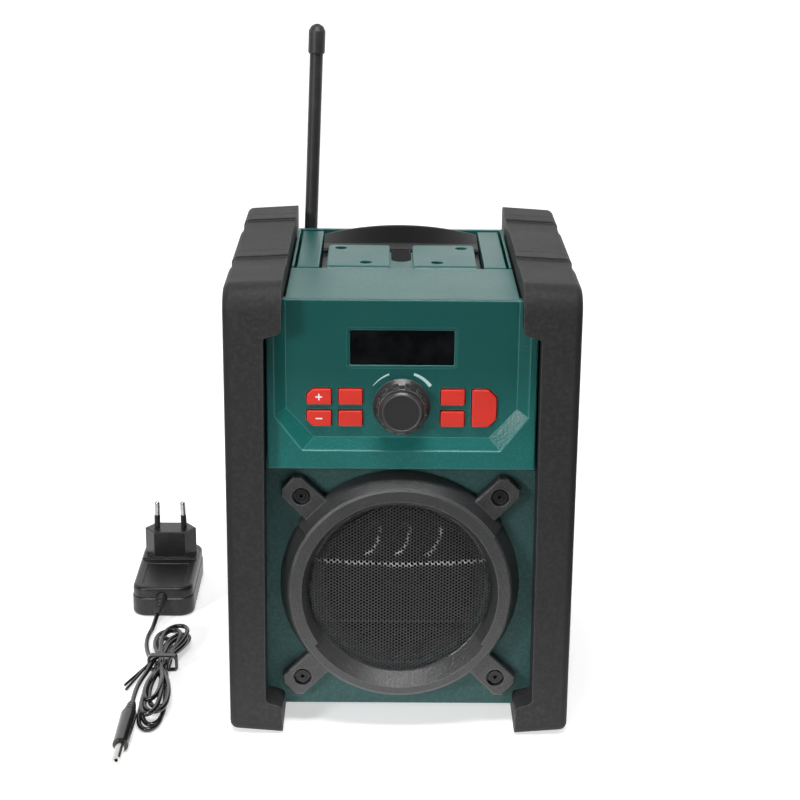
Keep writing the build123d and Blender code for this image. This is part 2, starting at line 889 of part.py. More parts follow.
# ---- Volume knob ----
def make_volume_knob():
    """The knob: a skirt, a ribbed grip and a raised front disc."""
    base = recess_floor - gap
    rib_face = base - knob_rib_length
    face = base - knob_length
    knob = taper_y(knob_radius, knob_skirt_radius, 0, knob_z, base - 3.5, base)
    knob += bar_y(knob_radius, 0, knob_z, rib_face, base - 3.0)
    for i in range(knob_rib_count):
        angle = 360 / knob_rib_count * (i + 0.5)
        rib = block(-knob_rib_width / 2, knob_rib_width / 2, rib_face, base - 1.0, 10.0, knob_rib_radius)
        knob += Pos(0, 0, knob_z) * Rot(0, angle, 0) * rib
    knob += taper_y(knob_disc_radius, knob_radius - 0.5, 0, knob_z, face + 1.0, rib_face + 0.01)
    knob += taper_y(knob_disc_radius - 1.0, knob_disc_radius, 0, knob_z, face, face + 1.01)
    knob -= bar_y(knob_disc_radius - 1.6, 0, knob_z, face - 1, face + 0.5)
    knob -= bar_y(knob_skirt_radius - 4.4, 0, knob_z, base - 2.5, base + 1)
    return knob - bar_y(shaft_radius + running, 0, knob_z, face + 2.5, base + 1)


def make_encoder_shaft():
    """The shaft that turns with the knob."""
    face = recess_floor - gap - knob_length
    shaft = bar_y(shaft_radius, 0, knob_z, face + 3.0, control_board_front - 3.5)
    return shaft


def make_encoder():
    """The rotary encoder on the control board, with its bushing."""
    half = encoder_size / 2
    rear = control_board_front
    body = block(-half, half, rear - 5.0, rear, knob_z - half, knob_z + half)
    body += bar_y(shaft_radius + 1.4, 0, knob_z, recess_floor + 0.2, rear - 4.9)
    return body - bar_y(shaft_radius + running, 0, knob_z, recess_floor - 1, rear - 3.0)


# ---- Top cover ----
def cover_screw_places():
    """Where the top cover is screwed to the deck."""
    return [(side * x, y) for side in (-1, 1) for x, y in pad_holes]


def make_pad():
    """One raised pad of the top cover, hollow underneath."""
    face = Pos((pad_inner + pad_outer) / 2, (well_front + pad_rear) / 2)
    face *= Rectangle(pad_outer - pad_inner, pad_rear - well_front)
    rear_corners = face.vertices().group_by(Axis.Y)[-1]
    face = fillet(rear_corners, pad_round)
    pad = extrude(Pos(0, 0, well_floor - weld) * face, amount=top_z - well_floor + weld)
    pad = fillet(pad.faces().sort_by(Axis.Z)[-1].edges().sort_by(Axis.Y)[0], pad_front_round)
    pad = fillet(pad.edges().group_by(Axis.Z)[-1].sort_by(Axis.Y)[1:], pad_edge_round)
    hollow = block(
        pad_inner + cover_wall, pad_outer - cover_wall, well_front + cover_wall,
        pad_rear - cover_wall, well_floor - wall, top_z - cover_wall,
    )
    for x, y in pad_holes:
        hollow -= bar_z(pad_hole_radius + cover_wall, x, y, well_floor - wall, top_z)
    return pad - hollow


def pad_hole_cuts():
    """The screw holes down through the pads."""
    cuts = []
    for x, y in cover_screw_places():
        cuts.append(bar_z(pad_hole_radius, x, y, pad_seat, top_z + 1))
        cuts.append(bar_z(screw_radius + gap, x, y, well_floor - 6, top_z))
    return Part() + cuts


def make_top_cover():
    """The cover on top: a front strip, a well for the handle, two slabs and two pads."""
    cover = cover_tray() + both_sides(make_pad() + make_slab()) + channel_shelf()
    return cover - pad_hole_cuts() - pivot_holes()


def cover_tray():
    """The cover's strip, floor and rim, with the groove behind the strip."""
    low = well_floor - cover_wall
    front = panel_front + seam_depth + gap
    strip_end = well_front - strip_groove
    tray = block(-cover_half, cover_half, front, strip_end, shell_top, top_z)
    tray = fillet(tray.faces().sort_by(Axis.Z)[-1].edges().sort_by(Axis.Y)[-1], strip_round)
    groove_z = top_z - strip_groove_depth
    tray += block(-cover_half, cover_half, strip_end - strip_wall, well_front, low, groove_z)
    tray += block(-cover_half, cover_half, well_front - weld, housing_rear, shell_top, top_z)
    tray += block(
        -cover_half, cover_half, strip_end, housing_rear - wall - gap, low, shell_top + weld
    )
    tray -= block(-cover_half - 1, cover_half + 1, strip_end, well_front, groove_z, top_z + 1)
    tray -= block(
        -cover_half + cover_wall, cover_half - cover_wall, front + cover_wall,
        strip_end - strip_wall, shell_top - 1, top_z - cover_wall,
    )
    tray -= block(-rim_inner, rim_inner, well_front, housing_rear - rear_rim, well_floor, top_z + 1)
    return tray - block(
        -rear_notch_half, rear_notch_half, housing_rear - rear_notch_length, housing_rear + 1,
        shell_top + rear_notch_rise, top_z + 1,
    )


def make_slab():
    """One of the two side slabs that flank the handle."""
    rear = housing_rear - slab_margin
    slab = block(slab_inner, slab_outer, well_front, rear, well_floor - weld, top_z)
    slab = fillet(slab.faces().sort_by(Axis.Z)[-1].edges(), slab_round)
    hollow = block(
        slab_inner + pivot_bury + 2, slab_outer - cover_wall, well_front + cover_wall,
        rear - cover_wall, well_floor - wall, top_z - cover_wall,
    )
    return slab - hollow


def channel_shelf():
    """The shelf between the pads, with a round-ended scoop for a finger."""
    high = top_z - channel_depth
    shelf = block(
        -pad_inner - weld, pad_inner + weld, well_front, pad_rear - pad_round, high - cover_wall, high
    )
    scoop_y = scoop_front + scoop_half
    scoop = bar_z(scoop_half, 0, scoop_y, high - wall, high + 1)
    return shelf - scoop - block(-scoop_half, scoop_half, scoop_y, pad_rear, high - wall, high + 1)


def pivot_holes():
    """Blind holes for the handle's pivot pins, in the slabs and the pads."""
    holes = bar_x(pivot_radius, pivot_y, pivot_z, pad_outer - 4.0, slab_inner + pivot_bury)
    return both_sides(holes)


def make_cover_screws():
    """The four screws at the bottom of the pads' holes."""
    screws = []
    for x, y in cover_screw_places():
        screw = bar_z(screw_radius, x, y, pad_seat - cover_screw_length, pad_seat)
        screw += bar_z(pad_hole_radius - gap, x, y, pad_seat, pad_seat + head_height)
        screws.append(screw - bar_z(hex_radius, x, y, pad_seat + head_height / 3, pad_seat + head_height))
    return Part() + screws


# ---- Carry handle ----
def arm_inner():
    """X of an arm's inner face."""
    return pad_outer + handle_gap


def make_carry_handle():
    """The folding handle: two flat arms and an arched grip."""
    x0 = arm_inner()
    x1 = x0 + handle_arm
    low = pivot_z - arm_height / 2
    arm = block(x0, x1, pivot_y, grip_front + 6, low, pivot_z + arm_height / 2)
    arm += bar_x(arm_height / 2, pivot_y, pivot_z, x0, x1)
    arms = both_sides(arm - bar_x(pivot_radius + running, pivot_y, pivot_z, x0 - 1, x1 + 1))
    return arms + make_grip(x1)


def make_grip(half):
    """The grip between the arms: a low apron with a tab, and an arched bar behind it."""
    bar = loft([
        Plane.YZ.offset(-half) * grip_section(grip_end_z),
        Plane.YZ.offset(0) * grip_section(grip_mid_z),
        Plane.YZ.offset(half) * grip_section(grip_end_z),
    ])
    inner = half - grip_wall
    hollow = block(
        -inner, inner, grip_front + grip_wall, grip_rear - grip_wall, grip_low - 1, apron_z - grip_wall
    )
    return bar - hollow + make_tab()


def grip_section(high):
    """The grip's outline in Y and Z, from the apron up to a rounded crest."""
    apron_end = grip_front + apron_length
    crest = grip_rear - grip_crest
    side = polygon(
        (grip_front, grip_low), (grip_front, apron_z), (apron_end, apron_z + apron_rise),
        (crest, high), (grip_rear, high - grip_fall), (grip_rear, grip_low),
    )
    side = round_at(side, (grip_front, apron_z), 2.0)
    side = round_at(side, (apron_end, apron_z + apron_rise), 5.0)
    side = round_at(side, (crest, high), grip_round)
    return round_at(side, (grip_rear, high - grip_fall), 2.0)


def make_tab():
    """The tab that slopes from the grip's apron down into the finger scoop."""
    tip_y = scoop_front + tab_clear
    root_y = grip_front + 2.0
    tip_z = apron_z - tab_drop
    side = polygon(
        (tip_y, tip_z), (root_y, apron_z), (root_y, apron_z - tab_thickness), (tip_y, tip_z - tab_thickness)
    )
    slope = along_x(side, -tab_half, tab_half)
    centre_y = tip_y + tab_half
    plan = Pos(0, centre_y) * Circle(tab_half)
    plan += Pos(0, (centre_y + root_y) / 2) * Rectangle(2 * tab_half, root_y - centre_y)
    return slope & extrude(plan, amount=overall_height)


def make_pivot_pins():
    """The two pins that the handle turns on."""
    pin = bar_x(pivot_radius - 0.02, pivot_y, pivot_z, pad_outer - 3.5, slab_inner + pivot_bury - 0.5)
    return both_sides(pin)


# ---- Antenna ----
def antenna_axis():
    """Placement whose local Z runs up the leaning antenna from its pivot."""
    return Pos(antenna_x, antenna_y, antenna_z) * Rot(0, antenna_lean, 0)


def antenna_length():
    """Distance from the pivot to the tip."""
    return antenna_reach / cos(radians(antenna_lean))


def make_antenna_bracket():
    """The fork on the housing's back that holds the antenna's pivot."""
    inner = knuckle_half + 0.35
    outer = inner + lug_thickness
    base_y = housing_rear
    plate = block(antenna_x - outer, antenna_x + outer, base_y, base_y + 3.0, antenna_z - 14, antenna_z + 10)
    lug = block(inner, outer, base_y + 1, antenna_y, -knuckle_radius, knuckle_radius)
    lug += bar_x(knuckle_radius, antenna_y, 0, inner, outer)
    lug -= bar_x(antenna_pin_radius, antenna_y, 0, inner - 1, outer + 1)
    return plate + Pos(antenna_x, 0, antenna_z) * both_sides(lug)


def make_antenna_knuckle():
    """The block at the antenna's foot, with the pivot hole through it."""
    knuckle = bar_x(
        knuckle_radius - 0.6, antenna_y, antenna_z, antenna_x - knuckle_half, antenna_x + knuckle_half
    )
    knuckle += antenna_axis() * Pos(0, 0, 7.0) * Cylinder(knuckle_half, 10.0)
    return knuckle - bar_x(
        antenna_pin_radius + running, antenna_y, antenna_z, antenna_x - 10, antenna_x + 10
    )


def make_antenna_rod():
    """The rubber-covered rod."""
    start = 12.0
    end = antenna_length() - cap_length
    rod = Pos(0, 0, (start + end) / 2) * Cylinder(rod_radius, end - start)
    return antenna_axis() * rod


def make_antenna_cap():
    """The rounded cap on the rod's tip."""
    top = antenna_length()
    start = top - cap_length
    profile = polygon(
        (0, start), (cap_radius - 0.5, start), (cap_radius, start + 1.0), (cap_radius, top - 4.2),
        (cap_radius - 1.5, top - 1.4), (1.2, top), (0, top),
    )
    profile = round_at(profile, (cap_radius, top - 4.2), 2.0)
    profile = round_at(profile, (cap_radius - 1.5, top - 1.4), 1.5)
    return antenna_axis() * revolve(Plane.XZ * profile, Axis.Z)


def make_antenna_pin():
    """The pin through the bracket and the knuckle."""
    outer = knuckle_half + 0.35 + lug_thickness
    return bar_x(antenna_pin_radius - 0.02, antenna_y, antenna_z, antenna_x - outer, antenna_x + outer)


# ---- Speaker ----
def ring_screw_places():
    """Where the speaker ring is screwed on."""
    reach = ring_screw_offset
    return [(x, ring_z + z) for x in (-reach, reach) for z in (-reach, reach)]


def ring_section(points, start, sweep):
    """A section in radius and Y, swept around the speaker's axis from start degrees."""
    axis = Axis((0, 0, ring_z), (0, 1, 0))
    swept = revolve(Pos(0, 0, ring_z) * polygon(*points), axis, sweep)
    return swept.rotate(axis, start)


def make_speaker_ring():
    """The trim ring around the speaker, with four screw lugs."""
    ring = ring_section(
        (
            (ring_base_radius, housing_front),
            (ring_front_radius + ring_chamfer / 3, ring_front + ring_chamfer),
            (ring_front_radius - ring_chamfer, ring_front),
            (ring_inner_radius, ring_front), (ring_lip_radius, ring_lip_y),
            (ring_inner_radius, ring_lip_y), (ring_inner_radius, housing_front),
        ),
        0, 360,
    )
    top_flank = (
        (ring_base_radius - 1, housing_front), (ring_base_radius + 1.0, housing_front),
        (ring_base_radius + 0.6, housing_front - 5.0), (ring_front_radius + 0.4, ring_front + 0.6),
        (ring_front_radius - 2.0, ring_front + 0.6),
    )
    ring += ring_section(top_flank, -90 - ring_sector / 2, ring_sector)
    low_bevel = (
        (ring_lip_radius, ring_lip_y), (ring_bevel_radius, ring_front),
        (ring_bevel_radius, ring_front - 1), (ring_lip_radius - 1, ring_front - 1),
        (ring_lip_radius - 1, ring_lip_y),
    )
    ring -= ring_section(low_bevel, 90 - ring_sector / 2, ring_sector)
    for angle in (45, 135, 225, 315):
        ring += make_lug(angle)
    ring -= bar_y(ring_lip_radius, 0, ring_z, ring_front - 1, housing_front + 1)
    for x, z in ring_screw_places():
        ring -= bar_y(counterbore_radius, x, z, ring_front, screw_seat)
        ring -= bar_y(screw_radius + gap, x, z, screw_seat - 1, housing_front + 1)
    return ring


def make_lug(angle):
    """One diagonal lug of the speaker ring, angle degrees around its axis."""
    inner = ring_inner_radius + 2.0
    face = Pos((inner + lug_reach) / 2, 0) * Rectangle(lug_reach - inner, lug_width)
    outer_corners = face.vertices().group_by(Axis.X)[-1]
    face = chamfer(outer_corners, lug_chamfer)
    lug = along_y(face, lug_front, housing_front)
    front_edges = lug.faces().sort_by(Axis.Y)[0].edges()
    lug = chamfer(front_edges, 0.8)
    return Pos(0, 0, ring_z) * Rot(0, -angle, 0) * lug


def make_ring_screws():
    """The speaker ring's four socket screws."""
    return Part() + [screw_y(x, z, screw_seat, ring_screw_length) for x, z in ring_screw_places()]


def make_speaker_grille():
    """The metal grille, with a raised band across its middle."""
    front = ring_lip_y + gap
    back = front + grille_thickness
    disc = bar_y(grille_radius, 0, ring_z, front, back)
    band_z = (ring_z + band_low, ring_z + band_high)
    column = bar_y(band_radius, 0, ring_z, front - band_rise, back)
    outer = block(-60, 60, front - band_rise, back, *band_z) & column
    skin = grille_thickness
    inner_column = bar_y(band_radius - skin, 0, ring_z, front - band_rise + skin, back + 1)
    inner = block(
        -60, 60, front - band_rise + skin, back + 1, band_z[0] + skin, band_z[1] - skin
    ) & inner_column
    return disc + outer - inner


def driver_screw_places():
    """Where the driver is screwed to the front shell."""
    reach = driver_bolt_radius * sin(radians(45))
    return [(x, ring_z + z) for x in (-reach, reach) for z in (-reach, reach)]


def driver_screw_holes():
    """Clearance for the driver's screws in the front shell."""
    depth = housing_front + wall
    holes = [bar_y(screw_radius + gap, x, z, housing_front - 1, depth + 1) for x, z in driver_screw_places()]
    return Part() + holes


def make_speaker_basket():
    """The driver's frame: a flange, four windows and a back plate."""
    front = housing_front + wall
    rear = front + driver_depth
    flange = bar_y(driver_radius, 0, ring_z, front, front + 2.0)
    bowl = taper_y(speaker_hole - 1, magnet_radius - 4, 0, ring_z, front + 1, rear)
    inner = taper_y(speaker_hole - 3, magnet_radius - 6, 0, ring_z, front + 0.9, rear - 2)
    basket = flange + bowl - bar_y(speaker_hole - 3, 0, ring_z, front - 1, front + 2) - inner
    for angle in (0, 90, 180, 270):
        slot = block(-15, 15, front + 14, rear - 6, 20, 60)
        basket -= Pos(0, 0, ring_z) * Rot(0, angle, 0) * slot
    basket -= bar_y(coil_radius + 1.0, 0, ring_z, front, rear + 1)
    for x, z in driver_screw_places():
        basket -= bar_y(screw_radius + running, x, z, front - 1, front + 3)
    return basket


def make_driver_screws():
    """The driver's four screws, under the trim ring."""
    screws = []
    for x, z in driver_screw_places():
        shank = bar_y(screw_radius, x, z, housing_front, housing_front + driver_screw_length)
        screws.append(shank + bar_y(head_radius - 0.4, x, z, housing_front - 1.8, housing_front))
    return Part() + screws


def make_speaker_magnet():
    """The magnet on the basket's back."""
    front = housing_front + wall + driver_depth
    magnet = bar_y(magnet_radius, 0, ring_z, front, front + magnet_thickness)
    return magnet - bar_y(coil_radius + 1.0, 0, ring_z, front - 1, front + magnet_thickness - 4)


def cone_rim_y():
    """Y of the cone's outer rim."""
    return housing_front + wall + 4.0


def make_speaker_surround():
    """The rubber roll between the cone and the basket."""
    inner = cone_radius
    roll = (
        (inner, cone_rim_y()), (inner + surround_width / 2, cone_rim_y() - 2.2),
        (inner + surround_width, cone_rim_y()), (inner + surround_width, cone_rim_y() + 1.0),
        (inner + surround_width / 2, cone_rim_y() - 1.0), (inner, cone_rim_y() + 1.0),
    )
    return ring_section(roll, 0, 360)


def make_speaker_cone():
    """The paper cone."""
    start = cone_rim_y() + 0.01
    end = start + cone_depth
    return ring_section(
        (
            (cone_radius - 0.05, start), (coil_radius, end), (coil_radius, end + 1.0),
            (cone_radius - 0.05, start + 1.0),
        ),
        0, 360,
    )


def make_dust_cap():
    """The dust cap in the middle of the cone."""
    rim = cone_rim_y() + cone_depth - 2.0
    outer = coil_radius + 1.6
    return ring_section(
        (
            (0, rim - 7.0), (outer * 0.35, rim - 6.6), (outer * 0.7, rim - 4.6), (outer, rim),
            (outer - 1.2, rim), (outer * 0.64, rim - 3.6), (outer * 0.32, rim - 5.5), (0, rim - 5.9),
        ),
        0, 360,
    )


# ---- Inside ----
def make_main_board():
    """The radio and amplifier board, upright behind the driver."""
    high = shell_top - main_board_drop
    low = high - main_board_height
    half = main_board_half
    front = main_board_front
    board = block(-half, half, front, front + board_thickness, low, high)
    part_top = high - part_margin
    board += block(
        -half, -half + tuner_width, front - tuner_depth, front, low + part_margin, part_top
    )
    board += block(
        -half + 1.5 * tuner_width, 0, front - chip_depth, front, part_top - chip_height, part_top
    )
    for i in range(3):
        x = part_margin + (i + 1) * 2.5 * capacitor_radius
        board += bar_y(capacitor_radius, x, low + 2 * capacitor_radius, front - capacitor_length, front)
    return board


def make_heat_sink():
    """The finned heat sink on the amplifier."""
    high = shell_top - main_board_drop - part_margin
    low = high - sink_height
    back = main_board_front
    start = part_margin
    sink = block(start, start + sink_width, back - sink_base, back, low, high)
    pitch = (sink_width - sink_fin) / (sink_fins - 1)
    for i in range(sink_fins):
        x = start + i * pitch
        sink += block(x, x + sink_fin, back - sink_depth, back - sink_base + weld, low, high)
    return sink


def bay_half():
    """Half the battery bay's inner width."""
    return cell_length + 4.0


def bay_half_height():
    """Half the battery bay's inner height."""
    return cell_rows * (cell_radius + cell_gap / 2) + 0.6


def bay_front():
    """Y of the battery bay's inner front face."""
    return housing_rear - 2 * cell_radius - 5.0


def bay_opening():
    """The opening in the housing's back that the door closes."""
    half = bay_half() + bay_wall
    high = bay_half_height() + bay_wall
    cut = block(-half, half, housing_rear - wall - 1, housing_rear + 1, bay_z - high, bay_z + high)
    seat = block(
        -half - 3, half + 3, housing_rear - door_thickness - 0.4, housing_rear + 1,
        bay_z - high - 3, bay_z + high + 3,
    )
    return cut + seat


def make_battery_box():
    """The open-backed box that holds the cells."""
    half = bay_half() + bay_wall - gap
    high = bay_half_height() + bay_wall - gap
    rear = housing_rear - wall - 0.3
    box = block(-half, half, bay_front() - bay_wall, rear, bay_z - high, bay_z + high)
    return box - block(
        -bay_half(), bay_half(), bay_front(), rear + 1, bay_z - bay_half_height(), bay_z + bay_half_height()
    )


def cell_places():
    """Centres of the cells, two side by side in each row."""
    pitch = 2 * cell_radius + cell_gap
    first = bay_z - (cell_rows - 1) / 2 * pitch
    reach = (cell_length + cell_gap) / 2
    return [(side * reach, first + row * pitch) for side in (-1, 1) for row in range(cell_rows)]


def make_battery_cells():
    """The round cells, lying across the bay."""
    y = bay_front() + cell_radius + 0.6
    cells = []
    for x, z in cell_places():
        end = x + cell_length / 2
        cell = bar_x(cell_radius, y, z, x - cell_length / 2, end - 1.8)
        cells.append(cell + bar_x(3.2, y, z, end - 1.9, end))
    return Part() + cells


def make_battery_contacts():
    """The contact plates at both ends of the rows."""
    y = bay_front() + cell_radius + 0.6
    plates = []
    for row in range(cell_rows):
        z = cell_places()[row][1]
        for side in (-1, 1):
            x = side * (bay_half() - 0.6)
            plate = block(x - 0.4, x + 0.4, y - 9, y + 9, z - 9, z + 9)
            inner = side * (cell_length + 0.9)
            plate += bar_x(4.0, y, z, min(inner, x), max(inner, x))
            plates.append(plate)
    return Part() + plates


def door_low():
    """Z of the battery door's lower edge."""
    return bay_z - bay_half_height() - bay_wall - 3 + door_gap


def hinge_y():
    """Y of the door's hinge axis."""
    return housing_rear + knuckle_outer + 0.4


def hinge_z():
    """Z of the door's hinge axis."""
    return door_low() - knuckle_outer - 0.4


def make_battery_door():
    """The battery door, with two hinge knuckles and a finger grip."""
    half = bay_half() + bay_wall + 3 - door_gap
    high = bay_z + bay_half_height() + bay_wall + 3 - door_gap
    door = block(-half, half, housing_rear - door_thickness, housing_rear, door_low(), high)
    door -= block(-12, 12, housing_rear - 1.2, housing_rear + 1, high - 9, high - 2)
    for i in range(5):
        z = door_low() + 14 + i * 15
        door += block(-half + 8, half - 8, housing_rear - 0.5, housing_rear + 0.8, z, z + 2)
    for x in (-hinge_reach, hinge_reach):
        door += bar_x(knuckle_outer, hinge_y(), hinge_z(), x - 6, x + 6)
        door += block(x - 6, x + 6, housing_rear + 0.4, hinge_y(), hinge_z(), door_low() + 6)
        door += block(x - 6, x + 6, housing_rear - 1, housing_rear + 1.4, door_low() + 1, door_low() + 6)
        door -= bar_x(hinge_radius + running, hinge_y(), hinge_z(), x - 7, x + 7)
    return door


def door_hinge_lugs():
    """Four lugs on the housing's back, either side of the door's knuckles."""
    lugs = []
    for x in (-hinge_reach, hinge_reach):
        for side in (-1, 1):
            centre = x + side * hinge_lug_offset
            lug = bar_x(knuckle_outer, hinge_y(), hinge_z(), centre - 2, centre + 2)
            lug += block(centre - 2, centre + 2, housing_rear - 1, hinge_y(), hinge_z() - 3.2, hinge_z() + 1)
            lugs.append(lug - bar_x(hinge_radius, hinge_y(), hinge_z(), centre - 3, centre + 3))
    return Part() + lugs


def make_door_pins():
    """The door's two hinge pins."""
    radius = hinge_radius - 0.02
    half = hinge_lug_offset + 2
    places = (-hinge_reach, hinge_reach)
    return Part() + [bar_x(radius, hinge_y(), hinge_z(), x - half, x + half) for x in places]


# ---- Sockets ----
def make_dc_socket():
    """The low-voltage inlet, with its centre pin."""
    rear = housing_rear - 1.6
    body = bar_y(4.0, socket_x, dc_z, rear - 12, rear)
    body -= bar_y(2.9, socket_x, dc_z, rear - 10, rear + 1)
    return body + bar_y(1.0, socket_x, dc_z, rear - 11, rear - 1)


def make_aux_socket():
    """The audio input."""
    rear = housing_rear - 1.6
    body = bar_y(3.0, socket_x, aux_z, rear - 12, rear)
    return body - bar_y(1.8, socket_x, aux_z, rear - 11, rear + 1)


def flap_low():
    """Z of the socket flap's hinge."""
    return aux_z - flap_margin


def flap_high():
    """Z of the socket flap's top edge."""
    return dc_z + flap_margin


def flap_seat():
    """The shallow seat for the socket flap in the housing's back."""
    half = flap_width / 2 + 0.5
    return block(
        socket_x - half, socket_x + half, housing_rear - 1.6, housing_rear + 1,
        flap_low() - 0.5, flap_high() + 0.5,
    )


def make_socket_flap():
    """The rubber flap over the sockets."""
    half = flap_width / 2
    front = housing_rear - 1.3
    flap = block(socket_x - half, socket_x + half, front, front + flap_thickness, flap_low(), flap_high())
    flap = fillet(flap.edges().filter_by(Axis.Y).group_by(Axis.Z)[-1], 3.0)
    lip = block(
        socket_x - 4, socket_x + 4, front, front + flap_thickness + 1.4, flap_high() - 3, flap_high() - 1
    )
    return flap + lip


# ---- Wall adapter ----
def adapter_plan(inset):
    """The adapter's outline seen from above."""
    centre_y = adapter_front + adapter_length / 2
    face = Pos(adapter_x, centre_y) * Rectangle(adapter_width - 2 * inset, adapter_length - 2 * inset)
    return fillet(face.vertices(), adapter_corner - inset)


def make_adapter_base():
    """The adapter's lower shell."""
    shell = extrude(adapter_plan(0), amount=adapter_seam - 0.15)
    shell = fillet(shell.faces().sort_by(Axis.Z)[0].edges(), adapter_edge)
    shell = chamfer(shell.faces().sort_by(Axis.Z)[-1].edges(), adapter_bevel)
    shell -= extrude(Pos(0, 0, adapter_wall) * adapter_plan(adapter_wall), amount=adapter_height)
    return shell - relief_hole()


def make_adapter_lid():
    """The adapter's upper shell, with the block that carries the pins."""
    plan = Pos(0, 0, adapter_seam + 0.15) * adapter_plan(0.5)
    shell = extrude(plan, amount=adapter_height - adapter_seam - 0.15)
    shell = fillet(shell.faces().sort_by(Axis.Z)[-1].edges(), adapter_edge)
    inner = Pos(0, 0, adapter_seam) * adapter_plan(adapter_wall + 0.5)
    shell -= extrude(inner, amount=adapter_height - adapter_seam - adapter_wall)
    shell += pin_block()
    label = block(
        adapter_x - label_half, adapter_x + label_half, adapter_front + label_margin,
        block_y - block_half_depth - label_margin, adapter_height - 0.5, adapter_height + 1,
    )
    return shell - label - relief_hole() - pin_holes()


def pin_block():
    """The six-sided block under the pins."""
    points = (
        (block_half, 0), (block_half_flat, block_half_depth), (-block_half_flat, block_half_depth),
        (-block_half, 0), (-block_half_flat, -block_half_depth), (block_half_flat, -block_half_depth),
    )
    start = Pos(adapter_x, block_y, adapter_height - 1)
    solid = extrude(start * polygon(*points), amount=block_height + 1)
    solid = fillet(solid.faces().sort_by(Axis.Z)[-1].edges(), 0.8)
    foot = Pos(adapter_x, block_y, adapter_height + block_foot / 2)
    foot *= Box(2 * block_half + 2, 2 * block_half_depth + 3, block_foot)
    return solid + foot


def pin_placement(side):
    """Placement of one pin: it leans inwards so that the tips stand closer together."""
    lean = side * (pin_spacing - pin_tip_spacing) / 2 / pin_length
    base = Pos(adapter_x + side * pin_spacing / 2, block_y, adapter_height + block_height)
    return base * Rot(0, -lean * 57.296, 0)


def pin_holes():
    """Holes in the block that the pins are moulded into."""
    return Part() + [pin_placement(s) * Pos(0, 0, -3) * Cylinder(pin_radius - 0.1, 8) for s in (-1, 1)]


def make_adapter_pins():
    """The two metal pins."""
    pins = []
    for side in (-1, 1):
        length = pin_length + 6
        pin = Pos(0, 0, length / 2 - 6) * Cylinder(pin_radius - 0.12, length)
        bare = pin_length - sleeve_length
        collar = Pos(0, 0, pin_length - bare / 2) * Cylinder(pin_radius, bare)
        collar = fillet(collar.edges().group_by(Axis.Z)[-1], 1.2)
        pin = pin & Pos(0, 0, pin_length - 20.5) * Box(10, 10, 39)
        pins.append(pin_placement(side) * (pin + collar))
    return Part() + pins


def make_pin_sleeves():
    """The insulating sleeves on the pins' lower halves."""
    sleeves = []
    for side in (-1, 1):
        sleeve = Pos(0, 0, sleeve_length / 2) * Cylinder(pin_radius, sleeve_length - 0.1)
        sleeve -= Pos(0, 0, sleeve_length / 2) * Cylinder(pin_radius - 0.1, sleeve_length + 1)
        sleeves.append(pin_placement(side) * sleeve)
    return Part() + sleeves


def relief_frame():
    """Placement whose local Z runs out of the adapter along the strain relief."""
    start = Vector(*relief_root)
    way = Vector(*relief_tip) - start
    return Plane(origin=start, z_dir=way)


def relief_length():
    """The strain relief's length outside the adapter."""
    return (Vector(*relief_tip) - Vector(*relief_root)).length


def relief_hole():
    """The hole that the strain relief passes through."""
    return relief_frame() * Cylinder(relief_radius - 0.5, 10.0)


def make_strain_relief():
    """The ribbed strain relief."""
    length = relief_length()
    body = Pos(0, 0, length / 2) * Cone(relief_radius - 0.8, relief_tip_radius - 0.4, length)
    for i in range(4):
        share = (i + 0.5) / 4
        radius = relief_radius + (relief_tip_radius - relief_radius) * share
        body += Pos(0, 0, 1.0 + share * (length - 2)) * Cylinder(radius, 1.3)
    body += Pos(0, 0, -1.0) * Cylinder(relief_radius - 1.0, 3.0)
    return relief_frame() * body


# ---- Cord ----
def cord_radii(route):
    """Bend radii for a route: 0.45 of the shorter run, over the tangent of half the turn."""
    radii = []
    points = [Vector(*p) for p in route]
    for before, here, after in zip(points, points[1:], points[2:]):
        first = here - before
        second = after - here
        turn = first.get_angle(second)
        radii.append(0.45 * min(first.length, second.length) / tan(radians(turn / 2)))
    return radii


def make_cord(name, route):
    """A round tube along a route of straight runs and tangent arcs."""
    radii = cord_radii(route)
    path = FilletPolyline(*route, radius=radii)
    section = Plane(origin=path @ 0, z_dir=path % 0) * Circle(cord_radius)
    tube = sweep(section, path=path)
    ideal = section.area * path.length
    print(name, "radii", [round(r, 1) for r in radii], "length", round(path.length, 1),
          "volume over ideal", round(tube.volume / ideal, 5))
    return tube


def hank_body():
    """The outer shape of the folded length of cord, before it is tied."""
    right = Spline(
        (-148.0, 31.0), (-137.0, 23.0), (-134.0, 8.0), (-140.5, -20.0), (-137.0, -50.0),
        (-136.5, -82.0), (-143.0, -99.0), (-150.5, -111.0),
    )
    left = Spline(
        (-150.5, -111.0), (-154.8, -98.0), (-154.6, -78.0), (-155.6, -58.0), (-156.4, -40.0), (-156.6, -24.0),
        (-157.0, -8.0), (-157.5, 15.0), (-148.0, 31.0),
    )
    solid = extrude(make_face(right + left), amount=hank_height)
    top_edges = solid.faces().sort_by(Axis.Z)[-1].edges()
    return fillet(top_edges, hank_edge)


def make_cord_hank():
    """The tied hank, with a groove underneath where the tie runs."""
    x, y = hank_waist
    groove = block(x - tie_half, x + tie_half, y - tie_width / 2, y + tie_width / 2, -1, tie_thickness)
    return hank_body() - groove


def make_cord_tie():
    """The wire tie around the hank's waist, with its two twisted ends."""
    x, y = hank_waist
    high = hank_height + tie_thickness
    section = Pos(x, high / 2) * RectangleRounded(2 * tie_half, high, hank_edge)
    band = along_y(section, y - tie_width / 2, y + tie_width / 2) - make_cord_hank()
    start = (x - tie_half + 0.5, y, 4.0)
    for end_x, end_y in tie_ends:
        wire = Line(start, (end_x, end_y, tie_end_radius + 0.3))
        band += sweep(Plane(origin=wire @ 0, z_dir=wire % 0) * Circle(tie_end_radius), path=wire)
    return band


